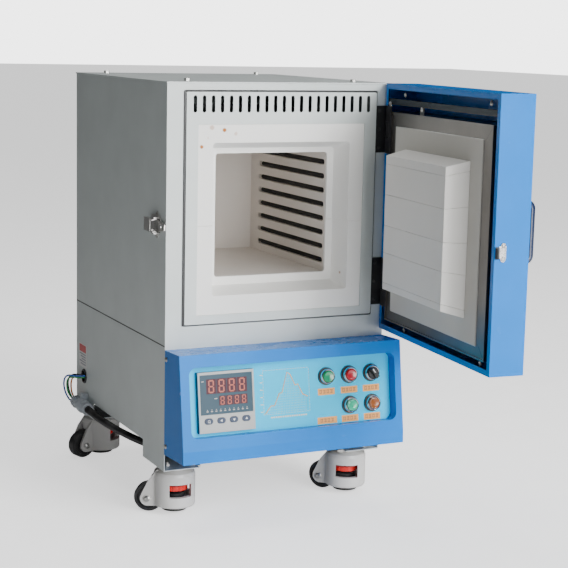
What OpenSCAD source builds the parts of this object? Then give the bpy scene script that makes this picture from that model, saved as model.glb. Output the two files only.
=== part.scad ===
// Box kiln for firing pottery samples: an electric muffle furnace with a
// side-hinged plug door, a control housing in front and levelling casters.
// Millimetres, +Z up. Heights are measured from the seam between the upper
// casing and the lower chassis, and stand() puts the wheels on Z = 0.

/* [Cabinet] */
// Width of the cabinet
cabinet_w = 392; // [390:1:396]
// Depth of the cabinet without the control housing
cabinet_d = 456; // [454:1:460]
// Height of the upper casing with its cover
upper_h = 417; // [416:1:422]
// Depth of the chassis side sheets at their tabs
chassis_h = 204.5; // [200:0.5:210]
// Height from the floor to the underside of the chassis tabs
caster_h = 83.5; // [83.5:0.5:90]
// Thickness of the casing sheets
sheet = 1.5; // [1:0.1:1.6]

/* [Chamber] */
// Width and height of the firing chamber
chamber_size = 200; // [198:1:202]
// Depth of the firing chamber behind the mouth
chamber_d = 299; // [290:1:300]
// Number of heating grooves in each side wall
groove_count = 8; // [2:1:8]
// Spacing of the heating grooves
groove_pitch = 23.5; // [20:0.5:24]

/* [Door] */
// Width of the door shell
door_w = 390; // [388:1:391]
// Height of the door shell
door_h = 409; // [405:1:409]
// Thickness of the door shell
door_t = 56; // [50:1:60]
// Angle at which the door stands open at rest
door_open = 85.2; // [80:0.1:90]

/* [Casters] */
// Radius of the wheels
wheel_r = 24; // [23:0.5:24]
// Distance from the swivel axis to the wheel's axle
trail = 42; // [41:0.5:44]
// Trail direction of each caster, front left, front right, rear left, rear right
trail_dirs = [149, 127.5, 194, 160]; // [0:0.5:360]

/* [Hidden] */
$fn = 48;

// the origin is the middle of the whole footprint, on the floor
origin_x = 207.2;
origin_y = 33.02;
floor_drop = chassis_h + caster_h;

gap = 0.3;               // between neighbouring solids that do not touch
press = 0.05;            // radial room of a running fit
cover_z = upper_h - 2;   // underside of the top cover
pan_z = -175;            // underside of the floor pan
tab_front = 98;          // length of the front tabs
tab_rear = 358;          // start of the rear tabs
flange_w = 62;           // width of the tab flanges

// mouth plate and its opening
plate_x = [31, 366];
plate_z = [33.5, 401.5];
plate_y = -4;
mouth_x = [51, 345];
mouth_z = [47.5, 351];
frame_joint_z = 191;

// firing chamber
chamber_x = [cabinet_w/2 - chamber_size/2, cabinet_w/2 + chamber_size/2];
chamber_z = [102.5, 102.5 + chamber_size];
chamber_y = 38.5;
chamber_end = 38 + chamber_d;
brick = 25;
floor_rise = 1;          // height of the floor above the foot of the walls
groove_z = 120;
groove_h = 9.2;
groove_depth = 9.5;
element_r = 4.2;
element_in = 4.8;
lead_r = 2.5;

// slanted face of the control housing: top and bottom edge in y, z
face_top = [-61.5, -2.6];
face_low = [-83, -152];
face_tilt = 90 - atan((face_top[0] - face_low[0])/(face_top[1] - face_low[1]));
recess_depth = 20;
meter_x = [33.5, 129.5];
meter_s = [29.5, 125.5];
key_x = [49.5, 71, 92.5, 114];
key_s = 107;
column_x = [262, 304, 345];
row_s = [52, 102];
bezel_r = 12;
button_r = 9.3;

// door, drawn closed and turned about the hinge axis
hinge_at = [387, -10];
lip_y = -5.5;
door_x = 1;
door_z = 8;
tray_x = [20, 370];
tray_z = [26.5, 371.5];
board_x = [49.2, 349.4];
board_z = [45, 348.5];
hinge_spans = [[48, 127], [303, 380]];
pin_r = 2.5;
handle_x = 49;
handle_z = [170, 254.5];
knuckle_r = 5;

// draw latch on the left side
latch_z = 190.5;
lever_pin = [-8, 30];
hook_pin = [-10, 36];

cover_screws = [for (x = [48, cabinet_w - 48], y = [40, 430]) [x, y]];
housing_screw_z = [-19, -161];
rear_screws = [for (x = [12, cabinet_w - 12], z = [40, 210, 380]) [x, z]];
screw_r = 1.9;
hole_r = 2;

bolt_offset = 22;
swivels = [[37, 48], [cabinet_w - 37, 48], [37, 424], [cabinet_w - 37, 424]];
grommet = [410, -135, 12];
gland = [320, -120, 8];

sleeve_x = -12;
sleeve_z = -184;
sleeve_y = [352, 424];
conduit_r = 6.4;
conduit_route = [[-12, 364, -184], [-12, 356, -184], [-12, 348, -184], [-11.5, 330, -184.8],
    [-10, 300, -187], [-6, 255, -189],
    [1, 205, -190.3], [8, 165, -191], [14, 130, -190.4], [17, 100, -188.4],
    [18, 82, -184], [18, 72, -177], [18, 69, -170]];
wire_routes = [
    [[10, 403, -133], [-8, 403, -133], [-21, 411, -133], [-24, 430, -136], [-25, 448, -144],
        [-24, 459, -158], [-21, 460, -174], [-17, 448, -186], [-14.4, 434, -186.5],
        [-14.4, 414, -186.4]],
    [[10, 408, -137], [-6, 408, -137], [-17, 415, -137], [-20, 430, -140], [-21, 444, -147],
        [-20, 453, -159], [-18, 453, -172], [-15, 445, -180], [-14.4, 434, -181.6],
        [-14.4, 414, -181.6]],
    [[10, 413, -133], [-4, 413, -133], [-13, 419, -133], [-16, 432, -136], [-17, 448, -144],
        [-16, 459, -158], [-13, 460, -174], [-10.5, 448, -186], [-9.6, 434, -186.5],
        [-9.6, 414, -186.4]],
    [[10, 418, -137], [-3, 418, -137], [-9, 422, -137], [-12, 431, -140], [-13, 444, -147],
        [-12, 453, -159], [-11, 453, -172], [-10, 445, -180], [-9.6, 434, -181.6],
        [-9.6, 414, -181.6]]];
wire_r = 1.6;

steel_grey = [0.70, 0.72, 0.70];
blue = [0.35, 0.66, 0.90];
fibre = [0.93, 0.93, 0.90];
stainless = [0.75, 0.75, 0.74];
black = [0.09, 0.09, 0.10];
caster_white = [0.84, 0.84, 0.82];

// ---------- helpers ----------

module stand() {
    translate([-origin_x, -origin_y, floor_drop]) children();
}

module span(x, y, z) {
    translate([x[0], y[0], z[0]]) cube([x[1] - x[0], y[1] - y[0], z[1] - z[0]]);
}

module round_rect(x, y, r) {
    translate([x[0] + r, y[0]]) square([x[1] - x[0] - 2*r, y[1] - y[0]]);
    translate([x[0], y[0] + r]) square([x[1] - x[0], y[1] - y[0] - 2*r]);
    for (px = [x[0] + r, x[1] - r], py = [y[0] + r, y[1] - r])
        translate([px, py]) circle(r = r, $fn = 24);
}

// a rounded rectangle in x and z, extruded along y
module slab_xz(x, z, r, y) {
    translate([0, y[1], 0]) rotate([90, 0, 0])
        linear_extrude(y[1] - y[0]) round_rect(x, z, r);
}

// a rod along y
module rod_y(x, z, r, y) {
    translate([x, y[0], z]) rotate([-90, 0, 0]) cylinder(r = r, h = y[1] - y[0]);
}

// children stand on the slanted face: x across, y up the slope, z outwards
module on_face(x, s, depth = 0) {
    translate([x, face_top[0], face_top[1]]) rotate([face_tilt, 0, 0])
        translate([0, -s, -depth]) children();
}

module open_door() {
    translate([hinge_at[0], hinge_at[1], 0]) rotate([0, 0, door_open])
        translate([-hinge_at[0], -hinge_at[1], 0]) children();
}

// a stadium of overall length l and height h
module stadium(l, h) {
    square([l - h, h], center = true);
    for (s = [-1, 1]) translate([s*(l - h)/2, 0]) circle(r = h/2, $fn = 24);
}

function catmull(a, b, c, d, t) =
    0.5*((2*b) + (c - a)*t + (2*a - 5*b + 4*c - d)*t*t + (3*b - a - 3*c + d)*t*t*t);

function smooth_route(p, n) = [for (i = [0 : len(p) - 2], k = [0 : n - 1])
    catmull(p[max(i - 1, 0)], p[i], p[i + 1], p[min(i + 2, len(p) - 1)], k/n), p[len(p) - 1]];

// a round tube of n sides swept along a route that never runs straight up
module sweep(route, r, n = 8) {
    last = len(route) - 1;
    function dir(i) = let (v = route[min(i + 1, last)] - route[max(i - 1, 0)]) v/norm(v);
    function side(d) = let (c = cross(d, [1, 0, 0.2])) c/norm(c);
    rings = [for (i = [0 : last]) let (d = dir(i), s = side(d), t = cross(d, s))
        for (k = [0 : n - 1]) route[i] + r*(cos(360*k/n)*s + sin(360*k/n)*t)];
    walls = [for (i = [0 : last - 1], k = [0 : n - 1])
        [i*n + k, (i + 1)*n + k, (i + 1)*n + (k + 1)%n, i*n + (k + 1)%n]];
    polyhedron(points = rings, faces = concat(walls,
        [[for (k = [0 : n - 1]) k]], [[for (k = [n - 1 : -1 : 0]) last*n + k]]),
        convexity = 10);
}

// ---------- upper casing ----------

module vent_slots(x0, count, pitch, z, w, y) {
    for (i = [0 : count - 1])
        slab_xz([x0 + i*pitch - w/2, x0 + i*pitch + w/2], z, w/2 - 0.1, y);
}

module upper_casing() {
    stand() color(steel_grey) difference() {
        union() {
            for (x = [0, cabinet_w - sheet])
                span([x, x + sheet], [0, cabinet_d], [0, cover_z]);
            span([sheet, cabinet_w - sheet], [0, sheet], [0, cover_z]);
            span([sheet, cabinet_w - sheet], [sheet, cabinet_d - 2], [0, sheet]);
            for (x = [60, cabinet_w - 80])
                span([x, x + 20], [60, 420], [sheet, 11]);
            for (p = cover_screws)
                span([p[0] - 8, p[0] + 8], [p[1] - 8, p[1] + 8], [cover_z - 8, cover_z]);
            for (x = [sheet, cabinet_w - sheet - 14])
                span([x, x + 14], [cabinet_d - 3, cabinet_d - sheet], [sheet, cover_z]);
        }
        slab_xz([28, 369.5], [30.5, 404.5], 3, [-1, 3]);
        for (p = cover_screws) translate([p[0], p[1], cover_z - 9]) cylinder(r = hole_r, h = 10);
        for (p = rear_screws) rod_y(p[0], p[1], hole_r, [cabinet_d - 4, cabinet_d]);
    }
}

module top_cover() {
    stand() color(steel_grey) difference() {
        span([-1, cabinet_w + 1], [-1.5, cabinet_d + 1.5], [cover_z, upper_h]);
        for (p = cover_screws) translate([p[0], p[1], cover_z - 1]) cylinder(r = hole_r, h = 4);
    }
}

module rear_panel() {
    stand() color(steel_grey) difference() {
        span([sheet + gap, cabinet_w - sheet - gap], [cabinet_d - sheet, cabinet_d],
            [sheet + gap, cover_z - gap]);
        vent_slots(91, 15, 15, [330, 360], 5, [cabinet_d - 3, cabinet_d + 1]);
        vent_slots(91, 15, 15, [60, 90], 5, [cabinet_d - 3, cabinet_d + 1]);
        for (p = rear_screws) rod_y(p[0], p[1], hole_r, [cabinet_d - 3, cabinet_d + 1]);
    }
}

module mouth_plate() {
    x = plate_x;
    z = plate_z;
    stand() color(steel_grey) {
        difference() {
            slab_xz(x, z, 3, [plate_y, plate_y + sheet]);
            slab_xz(mouth_x, mouth_z, 2, [plate_y - 1, 0]);
            vent_slots(45.3, 21, 15.285, [369.5, 396.2], 6, [plate_y - 1, 0]);
        }
        difference() {
            span(x, [plate_y + sheet, 39], z);
            span([x[0] + 1, x[1] - 1], [-5, 40], [z[0] + 1, z[1] - 1]);
        }
        span([x[0] + 1, x[1] - 1], [plate_y + sheet, 39], [360, 361]);
        difference() {
            span([21, 371], [37.5, 39], [11, 361]);
            span([x[0] + 0.5, x[1] - 0.5], [37, 40], [z[0] + 0.5, 362]);
        }
    }
}

module lead_holes(r, y) {
    for (x = [chamber_x[0] - element_in, chamber_x[1] + element_in])
        for (i = [0, groove_count - 1]) rod_y(x, groove_z + i*groove_pitch, r, y);
}

module inner_shell() {
    stand() color(steel_grey) difference() {
        span([21, 371], [39, 441], [11, 361]);
        span([22, 370], [38, 440], [12, 360]);
        lead_holes(6, [430, 450]);
        rod_y(196, 285, 5, [430, 450]);
    }
}

// ---------- chamber lining ----------

module insulation() {
    stand() color(fibre) difference() {
        span([22, 370], [40, 440], [12, 360]);
        span([chamber_x[0] - brick, chamber_x[1] + brick], [39, chamber_end + brick],
            [chamber_z[0] - brick, chamber_z[1] + brick]);
        lead_holes(3.2, [350, 450]);
        rod_y(196, 285, 3.3, [350, 450]);
    }
}

// the moulded collar around the mouth, with a stepped and tapered opening
module mouth_collar(shift) {
    difference() {
        union() {
            span([33, 364], [plate_y + sheet + 0.1, 38], [35.5, 359]);
            span([mouth_x[0] + 0.3, mouth_x[1] - 0.8], [-3.2, 0], [mouth_z[0] + 0.5, mouth_z[1] - 0.5]);
        }
        translate([shift, 0, 0]) hull() {
            slab_xz([76.3, 318.3], [78, 322], 5, [-3.4, -3.2]);
            slab_xz([87.3, 307.3], [89, 311], 5, [32.3, 32.4]);
        }
        slab_xz(chamber_x, chamber_z, 5, [30, 40]);
    }
}

module mouth_frame_upper() {
    stand() color(fibre) intersection() {
        mouth_collar(0);
        span([0, 400], [-5, 40], [frame_joint_z + 0.15, 400]);
    }
}

module mouth_frame_lower() {
    stand() color(fibre) intersection() {
        mouth_collar(1);
        span([0, 400], [-5, 40], [0, frame_joint_z - 0.15]);
    }
}

module chamber_sides() {
    stand() color(fibre) for (side = [0, 1]) difference() {
        span([chamber_x[side] - brick*(1 - side), chamber_x[side] + brick*side],
            [chamber_y, chamber_end], [chamber_z[0] - floor_rise, chamber_z[1]]);
        for (i = [0 : groove_count - 1])
            translate([chamber_x[side], 173, groove_z + i*groove_pitch]) rotate([90, 0, 90])
                translate([0, 0, -groove_depth]) linear_extrude(2*groove_depth)
                    stadium(262, groove_h);
        lead_holes(3.2, [290, chamber_end + 1]);
    }
}

module chamber_roof() {
    stand() color(fibre) span([chamber_x[0] - brick, chamber_x[1] + brick],
        [chamber_y, chamber_end], [chamber_z[1], chamber_z[1] + brick]);
}

module hearth() {
    stand() color(fibre) {
        span([chamber_x[0] - brick, chamber_x[1] + brick], [chamber_y, chamber_end],
            [chamber_z[0] - brick, chamber_z[0] - floor_rise]);
        span([chamber_x[0] + gap, chamber_x[1] - gap], [chamber_y + gap, chamber_end - gap],
            [chamber_z[0] - floor_rise, chamber_z[0]]);
    }
}

module chamber_back() {
    stand() color(fibre) difference() {
        span([chamber_x[0] - brick, chamber_x[1] + brick],
            [chamber_end, chamber_end + brick],
            [chamber_z[0] - brick, chamber_z[1] + brick]);
        lead_holes(3.2, [chamber_end - 1, chamber_end + brick + 1]);
        rod_y(196, 285, 3.3, [chamber_end - 1, chamber_end + brick + 1]);
    }
}

module heating_elements() {
    stand() color([0.20, 0.18, 0.17]) {
        for (x = [chamber_x[0] - element_in, chamber_x[1] + element_in])
            for (i = [0 : groove_count - 1]) {
                z = groove_z + i*groove_pitch;
                rod_y(x, z, element_r, [50, 296]);
                for (y = [50, 296]) translate([x, y, z]) sphere(r = element_r, $fn = 24);
            }
        lead_holes(lead_r, [296, 448]);
    }
}

module thermocouple() {
    stand() color([0.85, 0.83, 0.76]) {
        rod_y(196, 285, 3, [298, 443]);
        span([184, 208], [441.3, 452], [272, 298]);
    }
}

// ---------- lower chassis ----------

module tab_profile() {
    polygon([[0, 0], [cabinet_d, 0], [cabinet_d, -chassis_h], [tab_rear, -chassis_h],
        [tab_rear, pan_z], [tab_front, pan_z], [tab_front, -chassis_h], [0, -chassis_h]]);
}

module bolt_places() {
    for (p = swivels, dx = [-1, 1], dy = [-1, 1])
        translate([p[0] + dx*bolt_offset, p[1] + dy*bolt_offset, 0]) children();
}

module lower_chassis() {
    stand() color(steel_grey) difference() {
        union() {
            for (x = [0, cabinet_w - sheet]) translate([x, 0, 0]) rotate([90, 0, 90])
                linear_extrude(sheet) tab_profile();
            for (x = [sheet, cabinet_w - flange_w], y = [[0, tab_front], [tab_rear, cabinet_d]])
                span([x, x + flange_w - sheet], y, [-chassis_h, -chassis_h + sheet]);
            for (y = [0, cabinet_d - sheet])
                span([sheet, cabinet_w - sheet], [y, y + sheet], [pan_z, 0]);
            for (x = [sheet, cabinet_w - 2*sheet], z = housing_screw_z)
                span([x + (x < 9 ? 0.3 : -0.3), x + sheet + (x < 9 ? 0.3 : -0.3)], [-14, 0],
                    [z - 7, z + 7]);
        }
        span([45, 347], [-1, 3], [-150, -25]);
        translate([-1, grommet[0], grommet[1]]) rotate([0, 90, 0]) cylinder(r = grommet[2], h = 4);
        rod_y(gland[0], gland[1], gland[2] + 0.2, [cabinet_d - 3, cabinet_d + 1]);
        vent_slots(60, 12, 15, [-110, -60], 5, [cabinet_d - 3, cabinet_d + 1]);
        for (z = housing_screw_z) translate([-1, -7, z]) rotate([0, 90, 0])
            cylinder(r = hole_r, h = cabinet_w + 2);
        bolt_places() translate([0, 0, -chassis_h - 1]) cylinder(r = 3.3, h = 4);
    }
}

module floor_pan() {
    stand() color(black) difference() {
        span([sheet + gap, cabinet_w - sheet - gap], [sheet + gap, cabinet_d - sheet - gap],
            [pan_z, pan_z + sheet]);
        translate([18, 70, pan_z - 1]) cylinder(r = 9, h = 4);
    }
}

module power_relay() {
    stand() color([0.22, 0.22, 0.24]) {
        span([150, 222], [230, 320], [pan_z + sheet, -95]);
        span([160, 212], [245, 305], [-95, -83]);
        span([250, 290], [240, 310], [pan_z + sheet, -120]);
    }
}

// ---------- control housing ----------

module housing_profile() {
    polygon([[0, -5.3], face_top, face_low, [-84, -172], [0, -176]]);
}

module housing_inner_profile() {
    polygon([[1, -6.9], [face_top[0] + 1.3, face_top[1] - 1.6], [face_low[0] + 1.5, face_low[1]],
        [-82.5, -170.4], [1, -174.4]]);
}

module control_housing() {
    stand() color(blue) difference() {
        union() {
            difference() {
                rotate([90, 0, 90]) linear_extrude(cabinet_w) housing_profile();
                translate([sheet, 0, 0]) rotate([90, 0, 90])
                    linear_extrude(cabinet_w - 2*sheet) housing_inner_profile();
            }
            on_face(0, 0) translate([13.5, -133, -recess_depth - sheet])
                cube([368, 114.5, recess_depth + sheet - 0.5]);
        }
        on_face(0, 0) translate([0, 0, -recess_depth]) linear_extrude(recess_depth + 5)
            round_rect([15, 380], [-131.5, -20], 12);
        on_face((meter_x[0] + meter_x[1])/2, (meter_s[0] + meter_s[1])/2, recess_depth)
            cube([91, 91, 8], center = true);
        for (x = column_x) on_face(x, row_s[0], recess_depth + 3) cylinder(r = 11.2, h = 8);
        for (i = [1, 2]) on_face(column_x[i], row_s[1], recess_depth + 3) cylinder(r = 11.2, h = 8);
        for (z = housing_screw_z) translate([-1, -7, z]) rotate([0, 90, 0])
            cylinder(r = hole_r, h = cabinet_w + 2);
        span([-1, cabinet_w + 1], [0, 5], [-180, 0]);
    }
}

module controller_case() {
    x = (meter_x[0] + meter_x[1])/2;
    s = (meter_s[0] + meter_s[1])/2;
    w = meter_x[1] - meter_x[0];
    stand() color([0.62, 0.62, 0.60]) difference() {
        union() {
            on_face(x, s, recess_depth) translate([-w/2, -w/2, 0]) cube([w, w, 9]);
            on_face(x, s, recess_depth + 40) translate([-45, -45, 0]) cube([90, 90, 41]);
        }
        on_face(0, 0, 11.8) linear_extrude(3) round_rect([36.5, 126.5], [-97, -33.5], 1);
        for (k = key_x) on_face(k, key_s, 19.4) linear_extrude(12) stadium(15, 10);
    }
}

module key(i) {
    stand() color([0.13, 0.18, 0.26]) on_face(key_x[i], key_s, 17.9) {
        linear_extrude(7.4) stadium(14.2, 9.2);
        translate([0, 0, 7.4]) linear_extrude(0.6) stadium(12.8, 7.8);
    }
}
module key_1() { key(0); }
module key_2() { key(1); }
module key_3() { key(2); }
module key_4() { key(3); }

module switch_body(x, s, bore_depth) {
    on_face(x, s) difference() {
        union() {
            translate([0, 0, -recess_depth]) cylinder(r = 14.5, h = 3);
            translate([0, 0, -recess_depth]) cylinder(r = bezel_r, h = 10);
            translate([0, 0, -48]) cylinder(r = 11, h = 30);
        }
        translate([0, 0, -bore_depth]) cylinder(r = button_r + gap, h = bore_depth + 1);
    }
}

module switch_bodies() {
    stand() color(black) {
        for (x = column_x) switch_body(x, row_s[0], 30);
        for (i = [1, 2]) switch_body(column_x[i], row_s[1], 18);
    }
}

module push_button(i) {
    on_face(column_x[i], row_s[0]) {
        translate([0, 0, -26]) cylinder(r = button_r, h = 17);
        translate([0, 0, -9]) cylinder(r1 = button_r, r2 = button_r - 0.8, h = 0.8);
    }
}
module button_green() { stand() color([0.10, 0.62, 0.34]) push_button(0); }
module button_red() { stand() color([0.78, 0.16, 0.16]) push_button(1); }

module selector_knob() {
    stand() color(black) on_face(column_x[2], row_s[0]) rotate([0, 0, 35]) {
        translate([0, 0, -26]) cylinder(r = button_r, h = 17);
        translate([-3.2, -9, -9]) cube([6.4, 18, 8]);
    }
}

module lamp_lenses() {
    stand() color([0.30, 0.75, 0.55]) for (i = [1, 2]) on_face(column_x[i], row_s[1])
        intersection() {
            translate([0, 0, -18]) cylinder(r = button_r, h = 14);
            translate([0, 0, -18.5]) sphere(r = 14.2);
        }
}

// ---------- door hinges ----------

module knuckle(z, hole) {
    translate([hinge_at[0], hinge_at[1], z[0]]) difference() {
        cylinder(r = knuckle_r, h = z[1] - z[0]);
        if (hole > 0) translate([0, 0, -1]) cylinder(r = hole, h = z[1] - z[0] + 2);
    }
}

module hinge_cabinet_halves() {
    stand() color(black) for (h = hinge_spans) {
        third = (h[1] - h[0])/3;
        mid = [h[0] + third + 0.2, h[1] - third - 0.2];
        span([366, 391.5], [-2, 0], h);
        span([384, 390], [-9, -2], mid);
        knuckle(mid, 0);
        translate([hinge_at[0], hinge_at[1], h[0] - 1]) cylinder(r = pin_r, h = h[1] - h[0] + 2);
    }
}

module hinge_door_halves() {
    stand() color(black) open_door() for (h = hinge_spans) {
        third = (h[1] - h[0])/3;
        for (z = [[h[0], h[0] + third - 0.2], [h[1] - third + 0.2, h[1]]]) {
            knuckle(z, pin_r + press);
            difference() {
                span([374.5, 387], [-7.4, -3.6], z);
                translate([hinge_at[0], hinge_at[1], z[0] - 1])
                    cylinder(r = knuckle_r - 0.5, h = z[1] - z[0] + 2);
            }
        }
        span([366.3, 374.5], [-5.2, -3.6], h);
    }
}

// ---------- side latch ----------

module latch_base() {
    half = 17;
    stand() color(stainless) translate([0, 0, latch_z]) {
        difference() {
            rotate([90, 0, 90]) translate([0, 0, -1.5]) linear_extrude(1.5) {
                polygon([[23, 9], [30, 15], [58, 15], [65, 9], [65, -9], [58, -15],
                    [30, -15], [23, -9]]);
                for (s = [-1, 1]) translate([38, s*(half - 1)]) circle(r = 5);
            }
            for (s = [-1, 1]) translate([-2, 38, s*(half - 0.5)]) rotate([0, 90, 0])
                cylinder(r = 1.6, h = 3);
        }
        for (s = [-1, 1]) {
            span([-11, -1.5], [25, 36], [s*12.4 - 0.8, s*12.4 + 0.8]);
            translate([lever_pin[0], lever_pin[1], s > 0 ? 9.2 : -12]) cylinder(r = 1.5, h = 2.8);
        }
    }
}

module latch_lever() {
    stand() color(stainless) translate([0, 0, latch_z]) difference() {
        union() {
            for (s = [-1, 1]) {
                span([-12.5, -5.8], [26.5, 62], [s*10 - 0.7, s*10 + 0.7]);
                translate([hook_pin[0], hook_pin[1], s > 0 ? 6.4 : -9.6]) cylinder(r = 1.2, h = 3.2);
            }
            span([-13, -11.8], [39, 65], [-10.7, 10.7]);
        }
        translate([lever_pin[0], lever_pin[1], -15]) cylinder(r = 1.5 + press, h = 30);
    }
}

module latch_hook() {
    stand() color(stainless) translate([0, 0, latch_z]) difference() {
        union() {
            rotate([90, 0, 90]) translate([0, 0, -5]) linear_extrude(2) difference() {
                polygon([[-4.5, 4], [-2, 5.5], [20, 8.6], [22, 8.6], [22, -8.6], [20, -8.6],
                    [-2, -5.5], [-4.5, -4]]);
                translate([6, 0]) stadium(12, 7.5);
            }
            for (s = [-1, 1]) {
                span([-5, -3], [21, 38], [s*7.8 - 0.8, s*7.8 + 0.8]);
                span([-12, -3], [34, 38], [s*7.8 - 0.8, s*7.8 + 0.8]);
            }
        }
        translate([hook_pin[0], hook_pin[1], -10]) cylinder(r = 1.2 + press, h = 20);
    }
}

module latch_keeper() {
    stand() color(stainless) open_door() difference() {
        union() {
            span([door_x - 1.5, door_x], [-28.5, -6], [177, 199]);
            span([door_x - 8, door_x - 1.5], [-9.5, -7], [182, 197]);
        }
        for (z = [180.5, 195.5]) translate([-3, -21, z]) rotate([0, 90, 0])
            cylinder(r = 1.6, h = 6);
    }
}

// ---------- door ----------

module door_shell() {
    x = [door_x, door_x + door_w];
    z = [door_z, door_z + door_h];
    front = lip_y - door_t;
    stand() color(blue) open_door() difference() {
        union() {
            difference() {
                span(x, [front, lip_y], z);
                span([x[0] + sheet, x[1] - sheet], [front + sheet, lip_y - sheet],
                    [z[0] + sheet, z[1] - sheet]);
                span([x[0] + 9, x[1] - 9], [-20, 0], [z[0] + 9, z[1] - 9]);
            }
            span([x[0] + sheet, x[1] - sheet], [lip_y - 11.5, lip_y - 0.8], [383.5, 393]);
        }
        for (h = hinge_spans) {
            span([373.5, 400], [-8, 0], [h[0] - 1, h[1] + 1]);
            translate([hinge_at[0], hinge_at[1], h[0] - 1])
                cylinder(r = knuckle_r + 2, h = h[1] - h[0] + 2);
            span([hinge_at[0] - knuckle_r - 2, 400], [hinge_at[1], 0], [h[0] - 1, h[1] + 1]);
        }
        for (z = handle_z) rod_y(handle_x, z, 3.2, [front - 1, front + 3]);
    }
}

module door_frame() {
    stand() color(stainless) open_door() {
        difference() {
            span(tray_x, [lip_y - door_t + sheet, -6.7], tray_z);
            span([tray_x[0] + 1.2, tray_x[1] - 1.2], [-70, -7.9],
                [tray_z[0] + 1.2, tray_z[1] - 1.2]);
            span(board_x, [-10, 0], board_z);
        }
        difference() {
            span(tray_x, [-6.7, -5.2], tray_z);
            span([tray_x[0] + 3, tray_x[1] - 3], [-8, 0], [tray_z[0] + 3, tray_z[1] - 3]);
        }
    }
}

module door_board() {
    stand() color(fibre) open_door() {
        span([tray_x[0] + 1.4, tray_x[1] - 1.4], [-59.8, -8.1], [tray_z[0] + 1.4, tray_z[1] - 1.4]);
        span([board_x[0] + 0.2, board_x[1] - 0.2], [-8.1, -5.4],
            [board_z[0] + 0.2, board_z[1] - 0.2]);
    }
}

module door_plug() {
    stand() color(fibre) open_door() hull() {
        span([85.5, 309.5], [-5.4, -5.2], [80, 315]);
        span([93, 303.6], [30.8, 31], [90.5, 306]);
    }
}

module door_handle() {
    x = handle_x;
    z = handle_z;
    y = -89.5;
    r = 6;
    bend = 7.5;
    face = lip_y - door_t;
    stand() color([0.08, 0.12, 0.25]) open_door() {
        translate([x, y, z[0] + bend]) cylinder(r = r, h = z[1] - z[0] - 2*bend);
        for (i = [0, 1]) {
            rod_y(x, z[i], r, [y + bend, face]);
            rod_y(x, z[i], 3, [face, face + sheet]);
            translate([x, y + bend, z[i] + (i == 0 ? bend : -bend)]) rotate([0, 90, 0])
                rotate([0, 0, i == 0 ? -90 : 180]) rotate_extrude(angle = 90)
                    translate([bend, 0]) circle(r = r);
        }
    }
}

// ---------- leads and fasteners ----------

module conduit() {
    stand() color(black) sweep(smooth_route(conduit_route, 3), conduit_r, 12);
}

module wires() {
    stand() color([0.15, 0.35, 0.70])
        for (w = wire_routes) sweep(smooth_route(w, 3), wire_r, 8);
}

module conduit_connectors() {
    bush = 3;
    stand() color([0.55, 0.56, 0.57]) {
        difference() {
            union() {
                rod_y(sleeve_x, sleeve_z, 10, sleeve_y);
                translate([sleeve_x, sleeve_y[1] - 12, sleeve_z]) rotate([-90, 0, 0])
                    cylinder(r = 12, h = 10, $fn = 6);
                span([sleeve_x, 0], [388, 400], [sleeve_z + 6, sleeve_z + 20]);
            }
            rod_y(sleeve_x, sleeve_z, conduit_r + gap, [sleeve_y[0] - 1, sleeve_y[0] + 12]);
            rod_y(sleeve_x, sleeve_z, 7, [sleeve_y[1] - 14, sleeve_y[1] + 1]);
        }
        difference() {
            union() {
                rod_y(gland[0], gland[1], 12, [cabinet_d, cabinet_d + bush]);
                rod_y(gland[0], gland[1], gland[2], [cabinet_d - 12, cabinet_d + 9]);
            }
            rod_y(gland[0], gland[1], 5, [cabinet_d - 13, cabinet_d + 10]);
        }
    }
}

module screw() {
    intersection() {
        cylinder(r = 4, h = 2.6);
        translate([0, 0, -1.9]) sphere(r = 4.6, $fn = 24);
    }
    translate([0, 0, -5]) cylinder(r = screw_r, h = 5.5);
}

module case_screws() {
    stand() color(stainless) {
        for (p = cover_screws) translate([p[0], p[1], upper_h]) {
            cylinder(r = 5, h = 4.2, $fn = 6);
            translate([0, 0, -8]) cylinder(r = screw_r, h = 9);
        }
        for (z = housing_screw_z) {
            translate([0, -7, z]) rotate([0, -90, 0]) screw();
            translate([cabinet_w, -7, z]) rotate([0, 90, 0]) screw();
        }
        for (p = rear_screws) translate([p[0], cabinet_d, p[1]]) rotate([-90, 0, 0]) screw();
    }
}

module caster_plates() {
    low = -chassis_h - 3;
    stand() color([0.30, 0.30, 0.31]) {
        for (p = swivels) difference() {
            union() {
                span([p[0] - 33, p[0] + 33], [p[1] - 33, p[1] + 33], [low, -chassis_h]);
                translate([p[0], p[1], low - 12]) cylinder(r = 6, h = 13);
                translate([p[0], p[1], low - 15]) cylinder(r = 9, h = 3);
            }
            for (dx = [-1, 1], dy = [-1, 1])
                translate([p[0] + dx*bolt_offset, p[1] + dy*bolt_offset, low - 1])
                    cylinder(r = 3.3, h = 5);
        }
        bolt_places() {
            translate([0, 0, low - 4]) cylinder(r = 5.5, h = 4, $fn = 6);
            translate([0, 0, low - 1]) cylinder(r = 3, h = 12);
            translate([0, 0, -chassis_h + sheet]) cylinder(r = 5.5, h = 4, $fn = 6);
        }
    }
}

// ---------- casters ----------
// each is drawn about its swivel axis with the trail along +x, z from the floor

housing_low = 13;
housing_r = 34.5;
cavity_r = 27;
slot_half = 12.3;
ear_half = 17.5;
axle_r = 4;
ear_r = 12;
thumb_r = 22;

module caster_at(i) {
    stand() translate([swivels[i][0], swivels[i][1], -floor_drop])
        rotate([0, 0, trail_dirs[i]]) children();
}

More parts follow.
